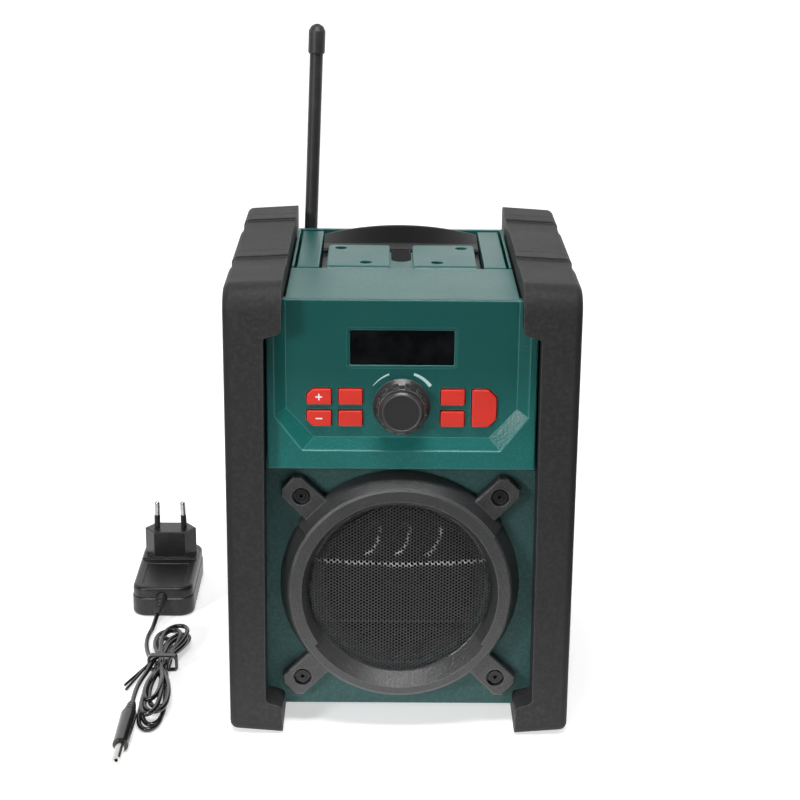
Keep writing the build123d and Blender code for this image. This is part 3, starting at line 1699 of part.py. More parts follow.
# ---- Low-voltage plug ----
def make_plug_body():
    """The plug's moulded grip and ribbed relief."""
    x, start_y, z = plug_route[-1]
    ribs_end = start_y - plug_ribs
    end = ribs_end - plug_grip
    body = taper_y(plug_radius - 1.3, 2.3, x, z, ribs_end, start_y)
    for i in range(4):
        y = start_y - 3.0 - i * 3.4
        body += bar_y(2.9 + 0.4 * i, x, z, y - 1.6, y)
    body += taper_y(plug_radius - 0.5, plug_radius - 0.2, x, z, end, ribs_end + 0.01)
    body = body - bar_y(barrel_radius, x, z, end - 1, end + 6)
    return body


def make_plug_barrel():
    """The plug's metal barrel."""
    x, start_y, z = plug_route[-1]
    end = start_y - plug_ribs - plug_grip
    barrel = bar_y(barrel_radius - 0.02, x, z, end - barrel_length, end + 5.5)
    return barrel - bar_y(barrel_bore, x, z, end - barrel_length - 1, end - 2)


def build_all():
    """Every node by name."""
    guard = make_guard()
    nodes = {
        "right_guard": guard,
        "left_guard": mirror(guard, about=Plane.YZ),
        "guard_screws": make_guard_screws(),
        "front_shell": make_front_shell(),
        "rear_shell": make_rear_shell(),
        "shell_screws": make_shell_screws(),
        "control_panel": make_control_panel(),
        "display_window": make_display_window(),
        "lcd_module": make_lcd_module(),
        "control_board": make_control_board(),
        "board_screws": make_board_screws(),
        "button_switches": make_button_switches(),
        "volume_knob": make_volume_knob(),
        "encoder_shaft": make_encoder_shaft(),
        "encoder": make_encoder(),
        "top_cover": make_top_cover(),
        "cover_screws": make_cover_screws(),
        "carry_handle": make_carry_handle(),
        "handle_pins": make_pivot_pins(),
        "antenna_bracket": make_antenna_bracket(),
        "antenna_pin": make_antenna_pin(),
        "antenna_knuckle": make_antenna_knuckle(),
        "antenna_rod": make_antenna_rod(),
        "antenna_cap": make_antenna_cap(),
        "speaker_ring": make_speaker_ring(),
        "ring_screws": make_ring_screws(),
        "speaker_grille": make_speaker_grille(),
        "speaker_basket": make_speaker_basket(),
        "driver_screws": make_driver_screws(),
        "speaker_magnet": make_speaker_magnet(),
        "speaker_surround": make_speaker_surround(),
        "speaker_cone": make_speaker_cone(),
        "dust_cap": make_dust_cap(),
        "main_board": make_main_board(),
        "heat_sink": make_heat_sink(),
        "battery_box": make_battery_box(),
        "battery_cells": make_battery_cells(),
        "battery_contacts": make_battery_contacts(),
        "battery_door": make_battery_door(),
        "door_pins": make_door_pins(),
        "rear_sockets": make_dc_socket() + make_aux_socket(),
        "socket_flap": make_socket_flap(),
        "adapter_base": make_adapter_base(),
        "adapter_lid": make_adapter_lid(),
        "adapter_pins": make_adapter_pins(),
        "pin_sleeves": make_pin_sleeves(),
        "strain_relief": make_strain_relief(),
        "adapter_cord": make_cord("supply", supply_route) + make_cord("plug", plug_route),
        "cord_hank": make_cord_hank(),
        "cord_tie": make_cord_tie(),
        "plug_body": make_plug_body(),
        "plug_barrel": make_plug_barrel(),
    }
    for name, cap in button_caps().items():
        nodes[name] = make_button(cap)
    return nodes


os.makedirs("parts", exist_ok=True)
for node, shape in build_all().items():
    export_step(shape, f"parts/{node}.step")
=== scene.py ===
import json
from math import cos, pi, radians, sin, sqrt, tau

import bmesh
import bpy
from mathutils import Matrix, Vector


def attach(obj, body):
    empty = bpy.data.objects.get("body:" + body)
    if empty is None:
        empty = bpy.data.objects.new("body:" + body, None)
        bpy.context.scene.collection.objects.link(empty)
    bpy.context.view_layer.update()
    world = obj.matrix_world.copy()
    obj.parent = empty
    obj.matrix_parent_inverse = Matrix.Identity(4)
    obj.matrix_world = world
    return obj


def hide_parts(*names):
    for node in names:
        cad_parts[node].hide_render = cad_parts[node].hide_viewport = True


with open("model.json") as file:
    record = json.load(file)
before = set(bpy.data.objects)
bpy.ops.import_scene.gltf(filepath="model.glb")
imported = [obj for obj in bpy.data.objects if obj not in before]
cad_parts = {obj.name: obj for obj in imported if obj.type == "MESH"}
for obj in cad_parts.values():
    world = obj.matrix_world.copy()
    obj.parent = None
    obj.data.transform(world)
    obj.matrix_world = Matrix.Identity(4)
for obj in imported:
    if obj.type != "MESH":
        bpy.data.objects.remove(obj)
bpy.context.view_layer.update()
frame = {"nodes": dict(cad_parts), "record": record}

MM = 0.001

# ---- Sizes shared with the CAD model, in millimetres ----
RING_Z = 88.0                    # speaker axis
GRILLE_FRONT = -92.4             # the grille's flat front
GRILLE_RADIUS = 53.4
PANEL_FLOOR = -93.5              # the control panel's recess
KNOB_Z = 200.3
BUTTON_FACE = -95.4
CORD_RADIUS = 1.5

SUPPLY_ROUTE = (
    (-160.0, 46.5, 7.0), (-161.8, 36.0, 1.7), (-163.9, 24.0, 1.5),
    (-163.2, 10.0, 1.5), (-160.3, -3.5, 1.6), (-156.5, -14.0, 3.0),
)
PLUG_ROUTE = (
    (-156.8, -33.0, 4.6), (-159.6, -46.0, 4.4), (-161.2, -62.0, 4.6), (-160.8, -78.0, 5.1),
)


def mm(*values):
    """A vector given in millimetres."""
    return Vector([v * MM for v in values])


# ---- Node helpers for materials ----
MIX_COLOR_A, MIX_COLOR_B = 6, 7   # sockets of the colour mix node
MIX_COLOR_RESULT = 2
BEVEL_SAMPLES = 4
RIM_TURN = (0.955, 0.998)         # cosine of the turn where a rim's mask is full, and where it ends


class Nodes:
    """A material's node tree with short calls for the nodes used here."""

    def __init__(self, name):
        self.material = bpy.data.materials.new(name)
        self.material.use_nodes = True
        self.tree = self.material.node_tree
        self.shader = self.tree.nodes["Principled BSDF"]
        self.coords = self.tree.nodes.new("ShaderNodeTexCoord").outputs["Object"]

    def feed(self, socket, value):
        """Links a socket, or sets its value. A colour gets its alpha here."""
        if isinstance(value, bpy.types.NodeSocket):
            self.tree.links.new(value, socket)
        elif socket.type == "RGBA":
            socket.default_value = (*value, 1.0)
        else:
            socket.default_value = value

    def add(self, kind, inputs=(), **settings):
        """Adds a node, sets its properties, and sets or links its inputs."""
        node = self.tree.nodes.new(kind)
        for key, value in settings.items():
            setattr(node, key, value)
        for key, value in dict(inputs).items():
            self.feed(node.inputs[key], value)
        return node

    def noise(self, scale, detail=3.0, roughness=0.5, vector=None):
        """Fractal noise in object space; scale is in features per metre."""
        node = self.add("ShaderNodeTexNoise", {
            "Vector": vector or self.coords, "Scale": scale, "Detail": detail, "Roughness": roughness,
        })
        return node.outputs["Fac"]

    def cells(self, scale):
        """Voronoi distance in object space; scale is in cells per metre."""
        node = self.add("ShaderNodeTexVoronoi", {"Vector": self.coords, "Scale": scale})
        return node.outputs["Distance"]

    def ramp(self, value, low, high, out_low=0.0, out_high=1.0):
        """Maps a range to another, clamped."""
        node = self.add("ShaderNodeMapRange", {
            "Value": value, "From Min": low, "From Max": high, "To Min": out_low, "To Max": out_high,
        })
        return node.outputs["Result"]

    def math(self, kind, a, b):
        """One arithmetic node."""
        node = self.add("ShaderNodeMath", {0: a, 1: b}, operation=kind)
        return node.outputs["Value"]

    def mix(self, factor, a, b):
        """Mixes two colours."""
        node = self.add("ShaderNodeMix", {"Factor": factor}, data_type="RGBA")
        self.feed(node.inputs[MIX_COLOR_A], a)
        self.feed(node.inputs[MIX_COLOR_B], b)
        return node.outputs[MIX_COLOR_RESULT]

    def bump(self, height, strength, distance, normal=None):
        """A bump of height times distance, in metres."""
        inputs = {"Height": height, "Strength": strength, "Distance": distance}
        if normal is not None:
            inputs["Normal"] = normal
        return self.add("ShaderNodeBump", inputs).outputs["Normal"]

    def rounded(self, radius):
        """The normal turned softly over sharp edges, and a mask of those edges."""
        bevel = self.add("ShaderNodeBevel", {"Radius": radius}, samples=BEVEL_SAMPLES)
        normal = bevel.outputs["Normal"]
        flat = self.add("ShaderNodeNewGeometry").outputs["Normal"]
        turned = self.add("ShaderNodeVectorMath", {0: normal, 1: flat}, operation="DOT_PRODUCT")
        return normal, self.ramp(turned.outputs["Value"], *RIM_TURN, out_low=1.0, out_high=0.0)

    def edges(self, low, high):
        """How strongly a place lies on a raised edge, from the mesh's pointiness."""
        point = self.add("ShaderNodeNewGeometry").outputs["Pointiness"]
        return self.ramp(point, low, high)

    def out(self, **sockets):
        """Sets or links the shader's own sockets."""
        for key, value in sockets.items():
            self.feed(self.shader.inputs[key.replace("_", " ")], value)
        return self.material


# ---- Kinds of material ----
PLASTIC_IOR = 1.48
MOTTLE = 0.05                     # how far the soft clouds leave the colour, either way
PLASTIC_STRENGTH = 0.55           # of the fine grain's bump
PIT_DENSITY = 0.62                # pits of the grain, as a share of its own scale
PIT_DEPTH = 0.8
COARSE_STRENGTH = 0.4             # of the coarser waves under the grain
COARSE_DEPTH = 3.0
RUB_TONE = 0.35                   # the pale tone that rubbed plastic moves towards
SPECK_AND_GLINT_TONE = (2.2, 0.012)         # gain and lift of the bright grains' colour, partly the grain's own tone and partly painted glints
RIM_WEAR_AND_HIGHLIGHT_TONE = (2.4, 0.10)            # the same for rims, which are paler partly from wear and partly as a painted highlight
# the same for metal rims: partly wear, partly a painted highlight
METAL_RIM_WEAR_AND_HIGHLIGHT_TONE = (2.0, 0.15)
METAL_RIM_RADIUS = 0.0005
METAL_SCRATCHES = 1800.0          # per metre, across the scratches
METAL_STRETCH = (1.0, 0.15, 1.0)
METAL_DIRT = (0.02, 0.02, 0.02)
DUST_TONE = (0.8, 0.035)          # gain and lift of dusty rubber


def paler(color, tone):
    """A colour after a tone's gain and lift, at most 1."""
    gain, lift = tone
    return tuple(min(1.0, c * gain + lift) for c in color)


def moulded_plastic(name, color, rough, grain, grain_height, wear=0.04, coarse=None, gloss=0.3,
                    edge=0.0007, specks_and_glints=0.0, rim_wear_and_highlight=0.7, painted_shade=None):
    """Moulded plastic with a spark-eroded grain, faint mottling, and rounded edges that are paler, partly
    from rubbing and partly as a painted highlight.

    grain and coarse are in features per metre, grain_height and edge in metres. The painted shade by height
    is given as (low, high, share): the colour falls to a share of itself from one height to another.
    """
    n = Nodes(name)
    dark = tuple(c * (1.0 - MOTTLE) for c in color)
    light = tuple(min(1.0, c * (1.0 + MOTTLE)) for c in color)
    rubbed = tuple(c + (RUB_TONE - c * RUB_TONE) * wear for c in color)
    cloud = n.ramp(n.noise(38.0, detail=4.0, roughness=0.55), low=0.32, high=0.68)
    body = n.mix(cloud, dark, light)
    worn = n.ramp(n.noise(420.0, detail=3.0), low=0.42, high=0.66)
    scuffs = n.math("MULTIPLY", n.edges(low=0.52, high=0.60), worn)
    body = n.mix(scuffs, body, rubbed)
    # Bright specks: partly the grain's own tone, partly painted glints.
    if specks_and_glints:
        bright = n.noise(grain * 0.9, detail=1.0, roughness=0.5)
        body = n.mix(n.ramp(bright, low=0.56, high=0.70, out_high=specks_and_glints), body, paler(color, SPECK_AND_GLINT_TONE))
    # Painted shade: the colour falls to a share of itself from one height to a higher one.
    if painted_shade:
        low, high, share = painted_shade
        up = n.add("ShaderNodeSeparateXYZ", {"Vector": n.coords}).outputs["Z"]
        body = n.mix(n.ramp(up, low, high), body, tuple(c * share for c in color))
    normal, rim = n.rounded(edge)
    # Paler rims: partly wear, partly a painted highlight.
    body = n.mix(n.math("MULTIPLY", rim, rim_wear_and_highlight), body, paler(color, RIM_WEAR_AND_HIGHLIGHT_TONE))
    fine = n.noise(grain, detail=2.0, roughness=0.6)
    pits = n.cells(grain * PIT_DENSITY)
    height = n.math("ADD", fine, n.math("MULTIPLY", pits, PIT_DEPTH))
    normal = n.bump(height, PLASTIC_STRENGTH, grain_height, normal)
    if coarse:
        waves = n.noise(coarse, detail=3.0, roughness=0.55)
        normal = n.bump(waves, COARSE_STRENGTH, grain_height * COARSE_DEPTH, normal)
    patches = n.noise(24.0, detail=3.0)
    uneven = n.math("ADD", n.math("MULTIPLY", fine, 0.5), n.math("MULTIPLY", patches, 0.5))
    rough_map = n.ramp(uneven, low=0.3, high=0.7, out_low=rough - 0.06, out_high=rough + 0.06)
    return n.out(
        Base_Color=body, Roughness=rough_map, Normal=normal, IOR=PLASTIC_IOR, Specular_IOR_Level=gloss,
    )


def soft_rubber(name, color, rough, grain=2600.0, dust=0.55, gloss=0.5):
    """Matte rubber with dust in its pores and a faint sheen."""
    n = Nodes(name)
    dusty = n.ramp(n.noise(55.0, detail=5.0, roughness=0.6), low=0.45, high=0.80, out_high=dust)
    body = n.mix(dusty, color, paler(color, DUST_TONE))
    normal = n.bump(n.noise(grain, detail=2.0, roughness=0.65), strength=0.5, distance=0.00006)
    patches = n.noise(30.0, detail=3.0)
    rough_map = n.ramp(patches, low=0.3, high=0.7, out_low=rough - 0.06, out_high=rough + 0.08)
    return n.out(Base_Color=body, Roughness=rough_map, Normal=normal, IOR=1.45, Specular_IOR_Level=gloss)


def worn_metal(name, color, rough, metallic=1.0, rim_wear_and_highlight=0.0):
    """Metal with fine scratches, uneven polish, a little dirt, and, where asked for, paler edges: partly
    wear, partly a painted highlight.
    """
    n = Nodes(name)
    stretch = n.add("ShaderNodeMapping", {"Vector": n.coords, "Scale": METAL_STRETCH}).outputs["Vector"]
    lines = n.noise(METAL_SCRATCHES, detail=3.0, roughness=0.7, vector=stretch)
    smut = n.ramp(n.noise(260.0, detail=4.0), low=0.55, high=0.78, out_high=0.5)
    body = n.mix(smut, color, METAL_DIRT)
    # Paler edges: partly wear, partly a painted highlight.
    if rim_wear_and_highlight:
        rim = n.rounded(METAL_RIM_RADIUS)[1]
        body = n.mix(n.math("MULTIPLY", rim, rim_wear_and_highlight), body, paler(color, METAL_RIM_WEAR_AND_HIGHLIGHT_TONE))
    rough_map = n.ramp(lines, low=0.3, high=0.7, out_low=rough * 0.7, out_high=rough * 1.4)
    normal = n.bump(lines, strength=0.25, distance=0.00003)
    return n.out(Base_Color=body, Metallic=metallic, Roughness=rough_map, Normal=normal)


def dark_window(name):
    """The display's tinted window: near black, glossy, with faint smears."""
    n = Nodes(name)
    smear = n.ramp(n.noise(45.0, detail=4.0), low=0.35, high=0.75, out_low=0.05, out_high=0.16)
    tint = n.ramp(n.noise(90.0, detail=2.0), low=0.4, high=0.7)
    body = n.mix(tint, (0.0025, 0.003, 0.0032), (0.006, 0.007, 0.0075))
    normal = n.bump(n.noise(60.0), strength=0.05, distance=0.0001)
    return n.out(Base_Color=body, Roughness=smear, IOR=1.49, Specular_IOR_Level=0.12, Normal=normal)


def paint_mark(name, color):
    """Slightly uneven print."""
    n = Nodes(name)
    thin = n.ramp(n.noise(900.0, detail=3.0), low=0.3, high=0.6)
    body = n.mix(thin, tuple(c * 0.86 for c in color), color)
    rough_map = n.ramp(n.noise(300.0), low=0.3, high=0.7, out_low=0.4, out_high=0.6)
    return n.out(Base_Color=body, Roughness=rough_map)


# ---- Materials by slot ----
TEAL = (0.0022, 0.0840, 0.0760)
# A lighter copy of the housing's teal for the control panel: painted light.
TEAL_FASCIA_PAINTED_LIGHT = (0.0024, 0.1100, 0.0990)
# A greyer, darker copy of the housing's teal for the lower front panel: painted sheen and painted shade.
TEAL_PAINTED_SHADE_AND_SHEEN = (0.0195, 0.0640, 0.0610)
TEAL_GRAIN = 1500.0
TEAL_WAVES = 700.0
MATERIALS = {
    "guard": moulded_plastic(
        "Guard", (0.0265, 0.0265, 0.0270), 0.54, 2100.0, 0.00010,
        wear=0.03, gloss=0.14, edge=0.0009, rim_wear_and_highlight=0.35,
    ),
    "housing": moulded_plastic(
        "Housing", TEAL, 0.34, TEAL_GRAIN, 0.00014, coarse=TEAL_WAVES, gloss=0.5, specks_and_glints=0.5,
    ),
    "black_plastic": moulded_plastic("BlackPlastic", (0.0100, 0.0100, 0.0105), 0.45, 1700.0, 0.00008),
    "antenna_rubber": soft_rubber("AntennaRubber", (0.0260, 0.0260, 0.0265), 0.45),
    "button": moulded_plastic(
        "Button", (0.600, 0.0180, 0.0070), 0.40, 2300.0, 0.00006, gloss=0.4, rim_wear_and_highlight=0.3,
    ),
    "knob": moulded_plastic("Knob", (0.0270, 0.0260, 0.0260), 0.34, 2300.0, 0.00004, gloss=0.5),
    "display": dark_window("Display"),
    "lcd": moulded_plastic("Lcd", (0.08, 0.09, 0.08), 0.4, 900.0, 0.00003),
    "ring": moulded_plastic(
        "Ring", (0.0230, 0.0230, 0.0240), 0.37, 1650.0, 0.00030,
        coarse=900.0, gloss=0.9, specks_and_glints=0.6, edge=0.0008, rim_wear_and_highlight=0.5,
    ),
    "grille": worn_metal("Grille", (0.038, 0.038, 0.039), 0.34, metallic=0.1),
    # A paler copy of the grille's metal for webs on the upper steps: a painted highlight.
    "grille_painted_highlight": worn_metal("GrillePaintedHighlight", (0.300, 0.300, 0.305), 0.32, metallic=0.5),
    "screw": worn_metal("Screw", (0.016, 0.016, 0.017), 0.36, metallic=0.4, rim_wear_and_highlight=0.6),
    "pin_steel": worn_metal("PinSteel", (0.50, 0.50, 0.51), 0.28),
    "plug_metal": worn_metal("PlugMetal", (0.66, 0.65, 0.63), 0.20),
    "board": moulded_plastic("Board", (0.010, 0.085, 0.026), 0.35, 700.0, 0.00006),
    "component": moulded_plastic("Component", (0.018, 0.018, 0.018), 0.4, 900.0, 0.00005),
    "heat_sink": worn_metal("HeatSink", (0.56, 0.57, 0.58), 0.35),
    "basket": worn_metal("Basket", (0.012, 0.012, 0.012), 0.5, metallic=0.1),
    "magnet": worn_metal("Magnet", (0.07, 0.07, 0.07), 0.55, metallic=0.4),
    "cone": soft_rubber("Cone", (0.004, 0.004, 0.004), 0.7, grain=1400.0, dust=0.05, gloss=0.1),
    "surround": soft_rubber("Surround", (0.003, 0.003, 0.003), 0.7, dust=0.05, gloss=0.1),
    "cell": worn_metal("Cell", (0.32, 0.25, 0.10), 0.3, metallic=0.6),
    "cord": moulded_plastic(
        "Cord", (0.0040, 0.0040, 0.0044), 0.20, 2600.0, 0.00001, gloss=0.9, edge=0.0003, rim_wear_and_highlight=0.1,
    ),
}

# Painted light and shade: the control panel gets a lighter copy of the teal, and its colour is darker towards
# its top, which the lights alone don't give. It falls to a share of itself between these heights, in metres.
PAINTED_SHADE_LOW, PAINTED_SHADE_HIGH = 0.172, 0.222
PAINTED_SHADE_SHARE = 0.62
FASCIA = moulded_plastic(
    "Fascia", TEAL_FASCIA_PAINTED_LIGHT, 0.34, TEAL_GRAIN, 0.00014,
    coarse=TEAL_WAVES, gloss=0.5, specks_and_glints=0.35, painted_shade=(PAINTED_SHADE_LOW, PAINTED_SHADE_HIGH, PAINTED_SHADE_SHARE),
)
# The lower front panel, in its greyer, darker teal: painted sheen and shade.
LOWER_PANEL = moulded_plastic(
    "LowerPanel", TEAL_PAINTED_SHADE_AND_SHEEN, 0.50, TEAL_GRAIN, 0.00012, coarse=TEAL_WAVES, specks_and_glints=0.3,
)
HANDLE = moulded_plastic("Handle", (0.0070, 0.0070, 0.0074), 0.36, 1900.0, 0.00005, gloss=0.15)
ADAPTER_SHELL = moulded_plastic(
    "AdapterShell", (0.0110, 0.0110, 0.0115), 0.38, 1900.0, 0.00006, gloss=0.5, edge=0.0005,
)
# Own materials of some parts. Those of the control panel and the lower front panel carry painted light and
# shade.
OWN_MATERIAL = {
    "control_panel": FASCIA, "front_shell": LOWER_PANEL, "carry_handle": HANDLE,
    "adapter_base": ADAPTER_SHELL, "adapter_lid": ADAPTER_SHELL,
}
WHITE_PRINT = paint_mark("WhitePrint", (0.78, 0.79, 0.78))
PALE_PRINT = paint_mark("PalePrint", (0.42, 0.58, 0.57))

SLOT_OF = {entry["node"]: entry["material_slot"] for entry in frame["record"]["subparts"]}


def dress_nodes():
    """Gives every CAD node its slot's material, or its own where it has one."""
    for name, obj in frame["nodes"].items():
        for slot in obj.material_slots:
            slot.material = OWN_MATERIAL.get(name, MATERIALS[SLOT_OF[name]])


def new_mesh(name, bm, slot, body="housing", material=None, smooth=True):
    """A new piece from a bmesh, riding on a body and named for a record slot."""
    mesh = bpy.data.meshes.new(name)
    bm.normal_update()
    bm.to_mesh(mesh)
    bm.free()
    piece = bpy.data.objects.new(name, mesh)
    bpy.context.scene.collection.objects.link(piece)
    mesh.materials.append(material or MATERIALS[slot])
    if smooth:
        mesh.shade_smooth()
    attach(piece, body)
    return piece


# ---- Camera ----
CAMERA_RIGHT = (0.9999387, -0.0061194, 0.0092261)
CAMERA_UP = (-0.0068842, 0.3089627, 0.9510492)
CAMERA_LOOK = (0.0086704, 0.9510545, -0.3089017)
CAMERA_PLACE = (-10.09, -1097.73, 530.0)
CAMERA_LENS = 84.264
CAMERA_SENSOR = 36.0
CAMERA_CLIP = 0.01


def make_camera():
    """The camera of the photograph."""
    data = bpy.data.cameras.new("Camera")
    data.lens = CAMERA_LENS
    data.sensor_width = CAMERA_SENSOR
    data.clip_start = CAMERA_CLIP
    camera = bpy.data.objects.new("Camera", data)
    axes = Matrix((CAMERA_RIGHT, CAMERA_UP, [-v for v in CAMERA_LOOK])).transposed()
    camera.matrix_world = Matrix.Translation(mm(*CAMERA_PLACE)) @ axes.to_4x4()
    bpy.context.scene.collection.objects.link(camera)
    bpy.context.scene.camera = camera


# ---- The adapter's cord: one spline from the strain relief, through the hank, to the plug ----
HANK_WAIST = (-149.0, -22.5, 5.4)
HANK_ENTRY = (-3.0, -1.6)         # where the cord first enters the waist, in X and Z from it
UPPER_LOOPS = (                   # tip X, tip Y and half width of each lap's upper loop
    (-148.5, 26.5, 8.6), (-140.0, 20.0, 6.5), (-152.0, 18.0, 4.5),
    (-143.0, 27.0, 7.5), (-139.5, 12.0, 4.8), (-146.0, 22.0, 5.6),
)
LOWER_LOOPS = (                   # the same for its lower loop
    (-148.5, -106.5, 7.2), (-146.0, -94.0, 7.5), (-149.5, -99.0, 5.2),
    (-144.5, -86.0, 6.0), (-147.0, -101.0, 6.4), (-150.5, -80.0, 4.4),
)
UPPER_HEIGHTS = (4.6, 5.0, 3.0, 8.0, 6.6, 7.2)
LOWER_HEIGHTS = (1.8, 7.4, 8.2, 6.2, 2.4, 8.4)
LOOP_SHAPE = (                    # share of the way to the tip, and share of the full half width
    (0.30, 0.55), (0.55, 0.95), (0.78, 1.0), (0.94, 0.72), (1.0, 0.0),
)
LOOP_CLIMB = 1.4                  # a loop reaches its own height at 1 / 1.4 of the way to its tip
LOOP_FLIP = 0.3                   # how far the way back lies above or below the way out
LAP_SPREAD = 2.0                  # between laps at the waist
LAP_RISE = 1.1
LAP_STRIDE, LAP_LEVELS = 7, 5     # shuffle the laps' levels at the waist


def loop_points(tip_x, tip_y, half, sign, height, flip):
    """The points of one hairpin from the waist out to its tip and back."""
    waist_x, waist_y, waist_z = HANK_WAIST
    length = tip_y - waist_y
    going = []
    coming = []
    for along, wide in LOOP_SHAPE:
        y = waist_y + length * along
        middle = waist_x + (tip_x - waist_x) * along
        z = waist_z + (height - waist_z) * min(1.0, along * LOOP_CLIMB)
        going.append((middle - sign * half * wide, y, z))
        if wide:
            coming.append((middle + sign * half * wide, y, z + flip))
    return going + coming[::-1]


def cord_points():
    """Control points of the whole cord, in millimetres."""
    points = list(SUPPLY_ROUTE)
    waist_x, waist_y, waist_z = HANK_WAIST
    points.append((waist_x + HANK_ENTRY[0], waist_y, waist_z + HANK_ENTRY[1]))
    middle_lap = (len(LOWER_LOOPS) - 1) / 2
    for lap, (lower, upper) in enumerate(zip(LOWER_LOOPS, UPPER_LOOPS)):
        spread = (lap - middle_lap) * LAP_SPREAD
        rise = (lap * LAP_STRIDE % LAP_LEVELS - LAP_LEVELS // 2) * LAP_RISE
        points += loop_points(*lower, 1, LOWER_HEIGHTS[lap], LOOP_FLIP)
        points.append((waist_x + spread, waist_y, waist_z + rise))
        points += loop_points(*upper, -1, UPPER_HEIGHTS[lap], -LOOP_FLIP)
        points.append((waist_x - spread, waist_y, waist_z - rise))
    return points + list(PLUG_ROUTE)


def make_cord():
    """The whole cord as one smooth spline."""
    curve = bpy.data.curves.new("AdapterCord", "CURVE")
    curve.dimensions = "3D"
    curve.bevel_depth = CORD_RADIUS * MM
    curve.bevel_resolution = 4
    curve.resolution_u = 6
    curve.use_fill_caps = True
    spline = curve.splines.new("NURBS")
    points = cord_points()
    spline.points.add(len(points) - 1)
    for point, place in zip(spline.points, points):
        point.co = (*mm(*place), 1.0)
    spline.order_u = 3
    spline.use_endpoint_u = True
    cord = bpy.data.objects.new("AdapterCord", curve)
    bpy.context.scene.collection.objects.link(cord)
    curve.materials.append(MATERIALS["cord"])
    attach(cord, "housing")
    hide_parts("adapter_cord", "cord_hank")


# ---- Speaker grille: a perforated sheet with a raised band and pressed ovals ----
HOLE_PITCH = 2.0
HOLE_RADIUS = 0.84
HOLE_SIDES = 6
SHEET_THICKNESS = 0.5
SAME_PLACE = 50                   # corners that round to the same 1/50 mm are one vertex
DISH_RISE = 0.55                  # the sheet stands forward of its edge
DISH_SLOPE = (0.5, 4.0)           # where that rise starts and ends, from the edge
BAND_RISE = 2.2
BAND_LOW, BAND_HIGH = -20.2, 15.6
BAND_BOW = 3.0                    # the band's upper edge rises this much to its ends
LOWER_STEP = (-1.0, 0.6)          # start and end of each step, from the band's edge
UPPER_STEP = (-0.8, 1.8)
UPPER_OVALS = tuple((x, 31.0) for x in (-17.2, 0.0, 18.0))
LOWER_OVALS = tuple((x, -35.7) for x in (-21.0, -1.0, 17.0))
OVAL_HALF = (4.4, 11.5)
OVAL_TILT = radians(21.0)
OVAL_SINK = 1.0
OVAL_WALL = (0.80, 1.05)          # where an oval's wall starts and ends, in shares of its size
PAINTED_HIGHLIGHT_REACH = 0.4                  # either side of a place, for the slope test of the painted highlight
PAINTED_HIGHLIGHT_RISE = 0.20
PAINTED_HIGHLIGHT_UP, PAINTED_HIGHLIGHT_LEFT = 0.8, 0.6     # how much each direction counts in it
RIM_SEGMENTS = 128
RIM_SECTION = (                   # the plain rim's corners: radius and depth from the grille's edge
    (-1.6, -0.25), (2.6, 0.0), (2.6, 0.8), (-1.6, 0.6),
)


def smooth_step(value, low, high):
    """0 below low, 1 above high, and a soft ramp between."""
    share = min(1.0, max(0.0, (value - low) / (high - low)))
    return share * share * (3.0 - 2.0 * share)


def grille_rise(x, z):
    """How far the grille stands forward at a place, in millimetres."""
    rise = DISH_RISE * smooth_step(GRILLE_RADIUS - sqrt(x * x + z * z), *DISH_SLOPE)
    high = BAND_HIGH + BAND_BOW * (x / GRILLE_RADIUS) ** 2
    band = smooth_step(z, BAND_LOW + LOWER_STEP[0], BAND_LOW + LOWER_STEP[1])
    band *= smooth_step(-z, -high - UPPER_STEP[1], -high - UPPER_STEP[0])
    rise = max(rise, BAND_RISE * band)
    for oval_x, oval_z in UPPER_OVALS + LOWER_OVALS:
        dx, dz = x - oval_x, z - oval_z
        u = (dx * cos(OVAL_TILT) - dz * sin(OVAL_TILT)) / OVAL_HALF[0]
        v = (dx * sin(OVAL_TILT) + dz * cos(OVAL_TILT)) / OVAL_HALF[1]
        distance = sqrt(u * u + v * v)
        rise -= OVAL_SINK * smooth_step(-distance, -OVAL_WALL[1], -OVAL_WALL[0])
    return rise


def has_painted_highlight(x, z):
    """Whether a web has the painted highlight, a paler colour on the upper steps that face up or left."""
    if z < BAND_LOW:
        return False
    up = grille_rise(x, z - PAINTED_HIGHLIGHT_REACH) - grille_rise(x, z + PAINTED_HIGHLIGHT_REACH)
    left = grille_rise(x + PAINTED_HIGHLIGHT_REACH, z) - grille_rise(x - PAINTED_HIGHLIGHT_REACH, z)
    return PAINTED_HIGHLIGHT_UP * up + PAINTED_HIGHLIGHT_LEFT * left > PAINTED_HIGHLIGHT_RISE


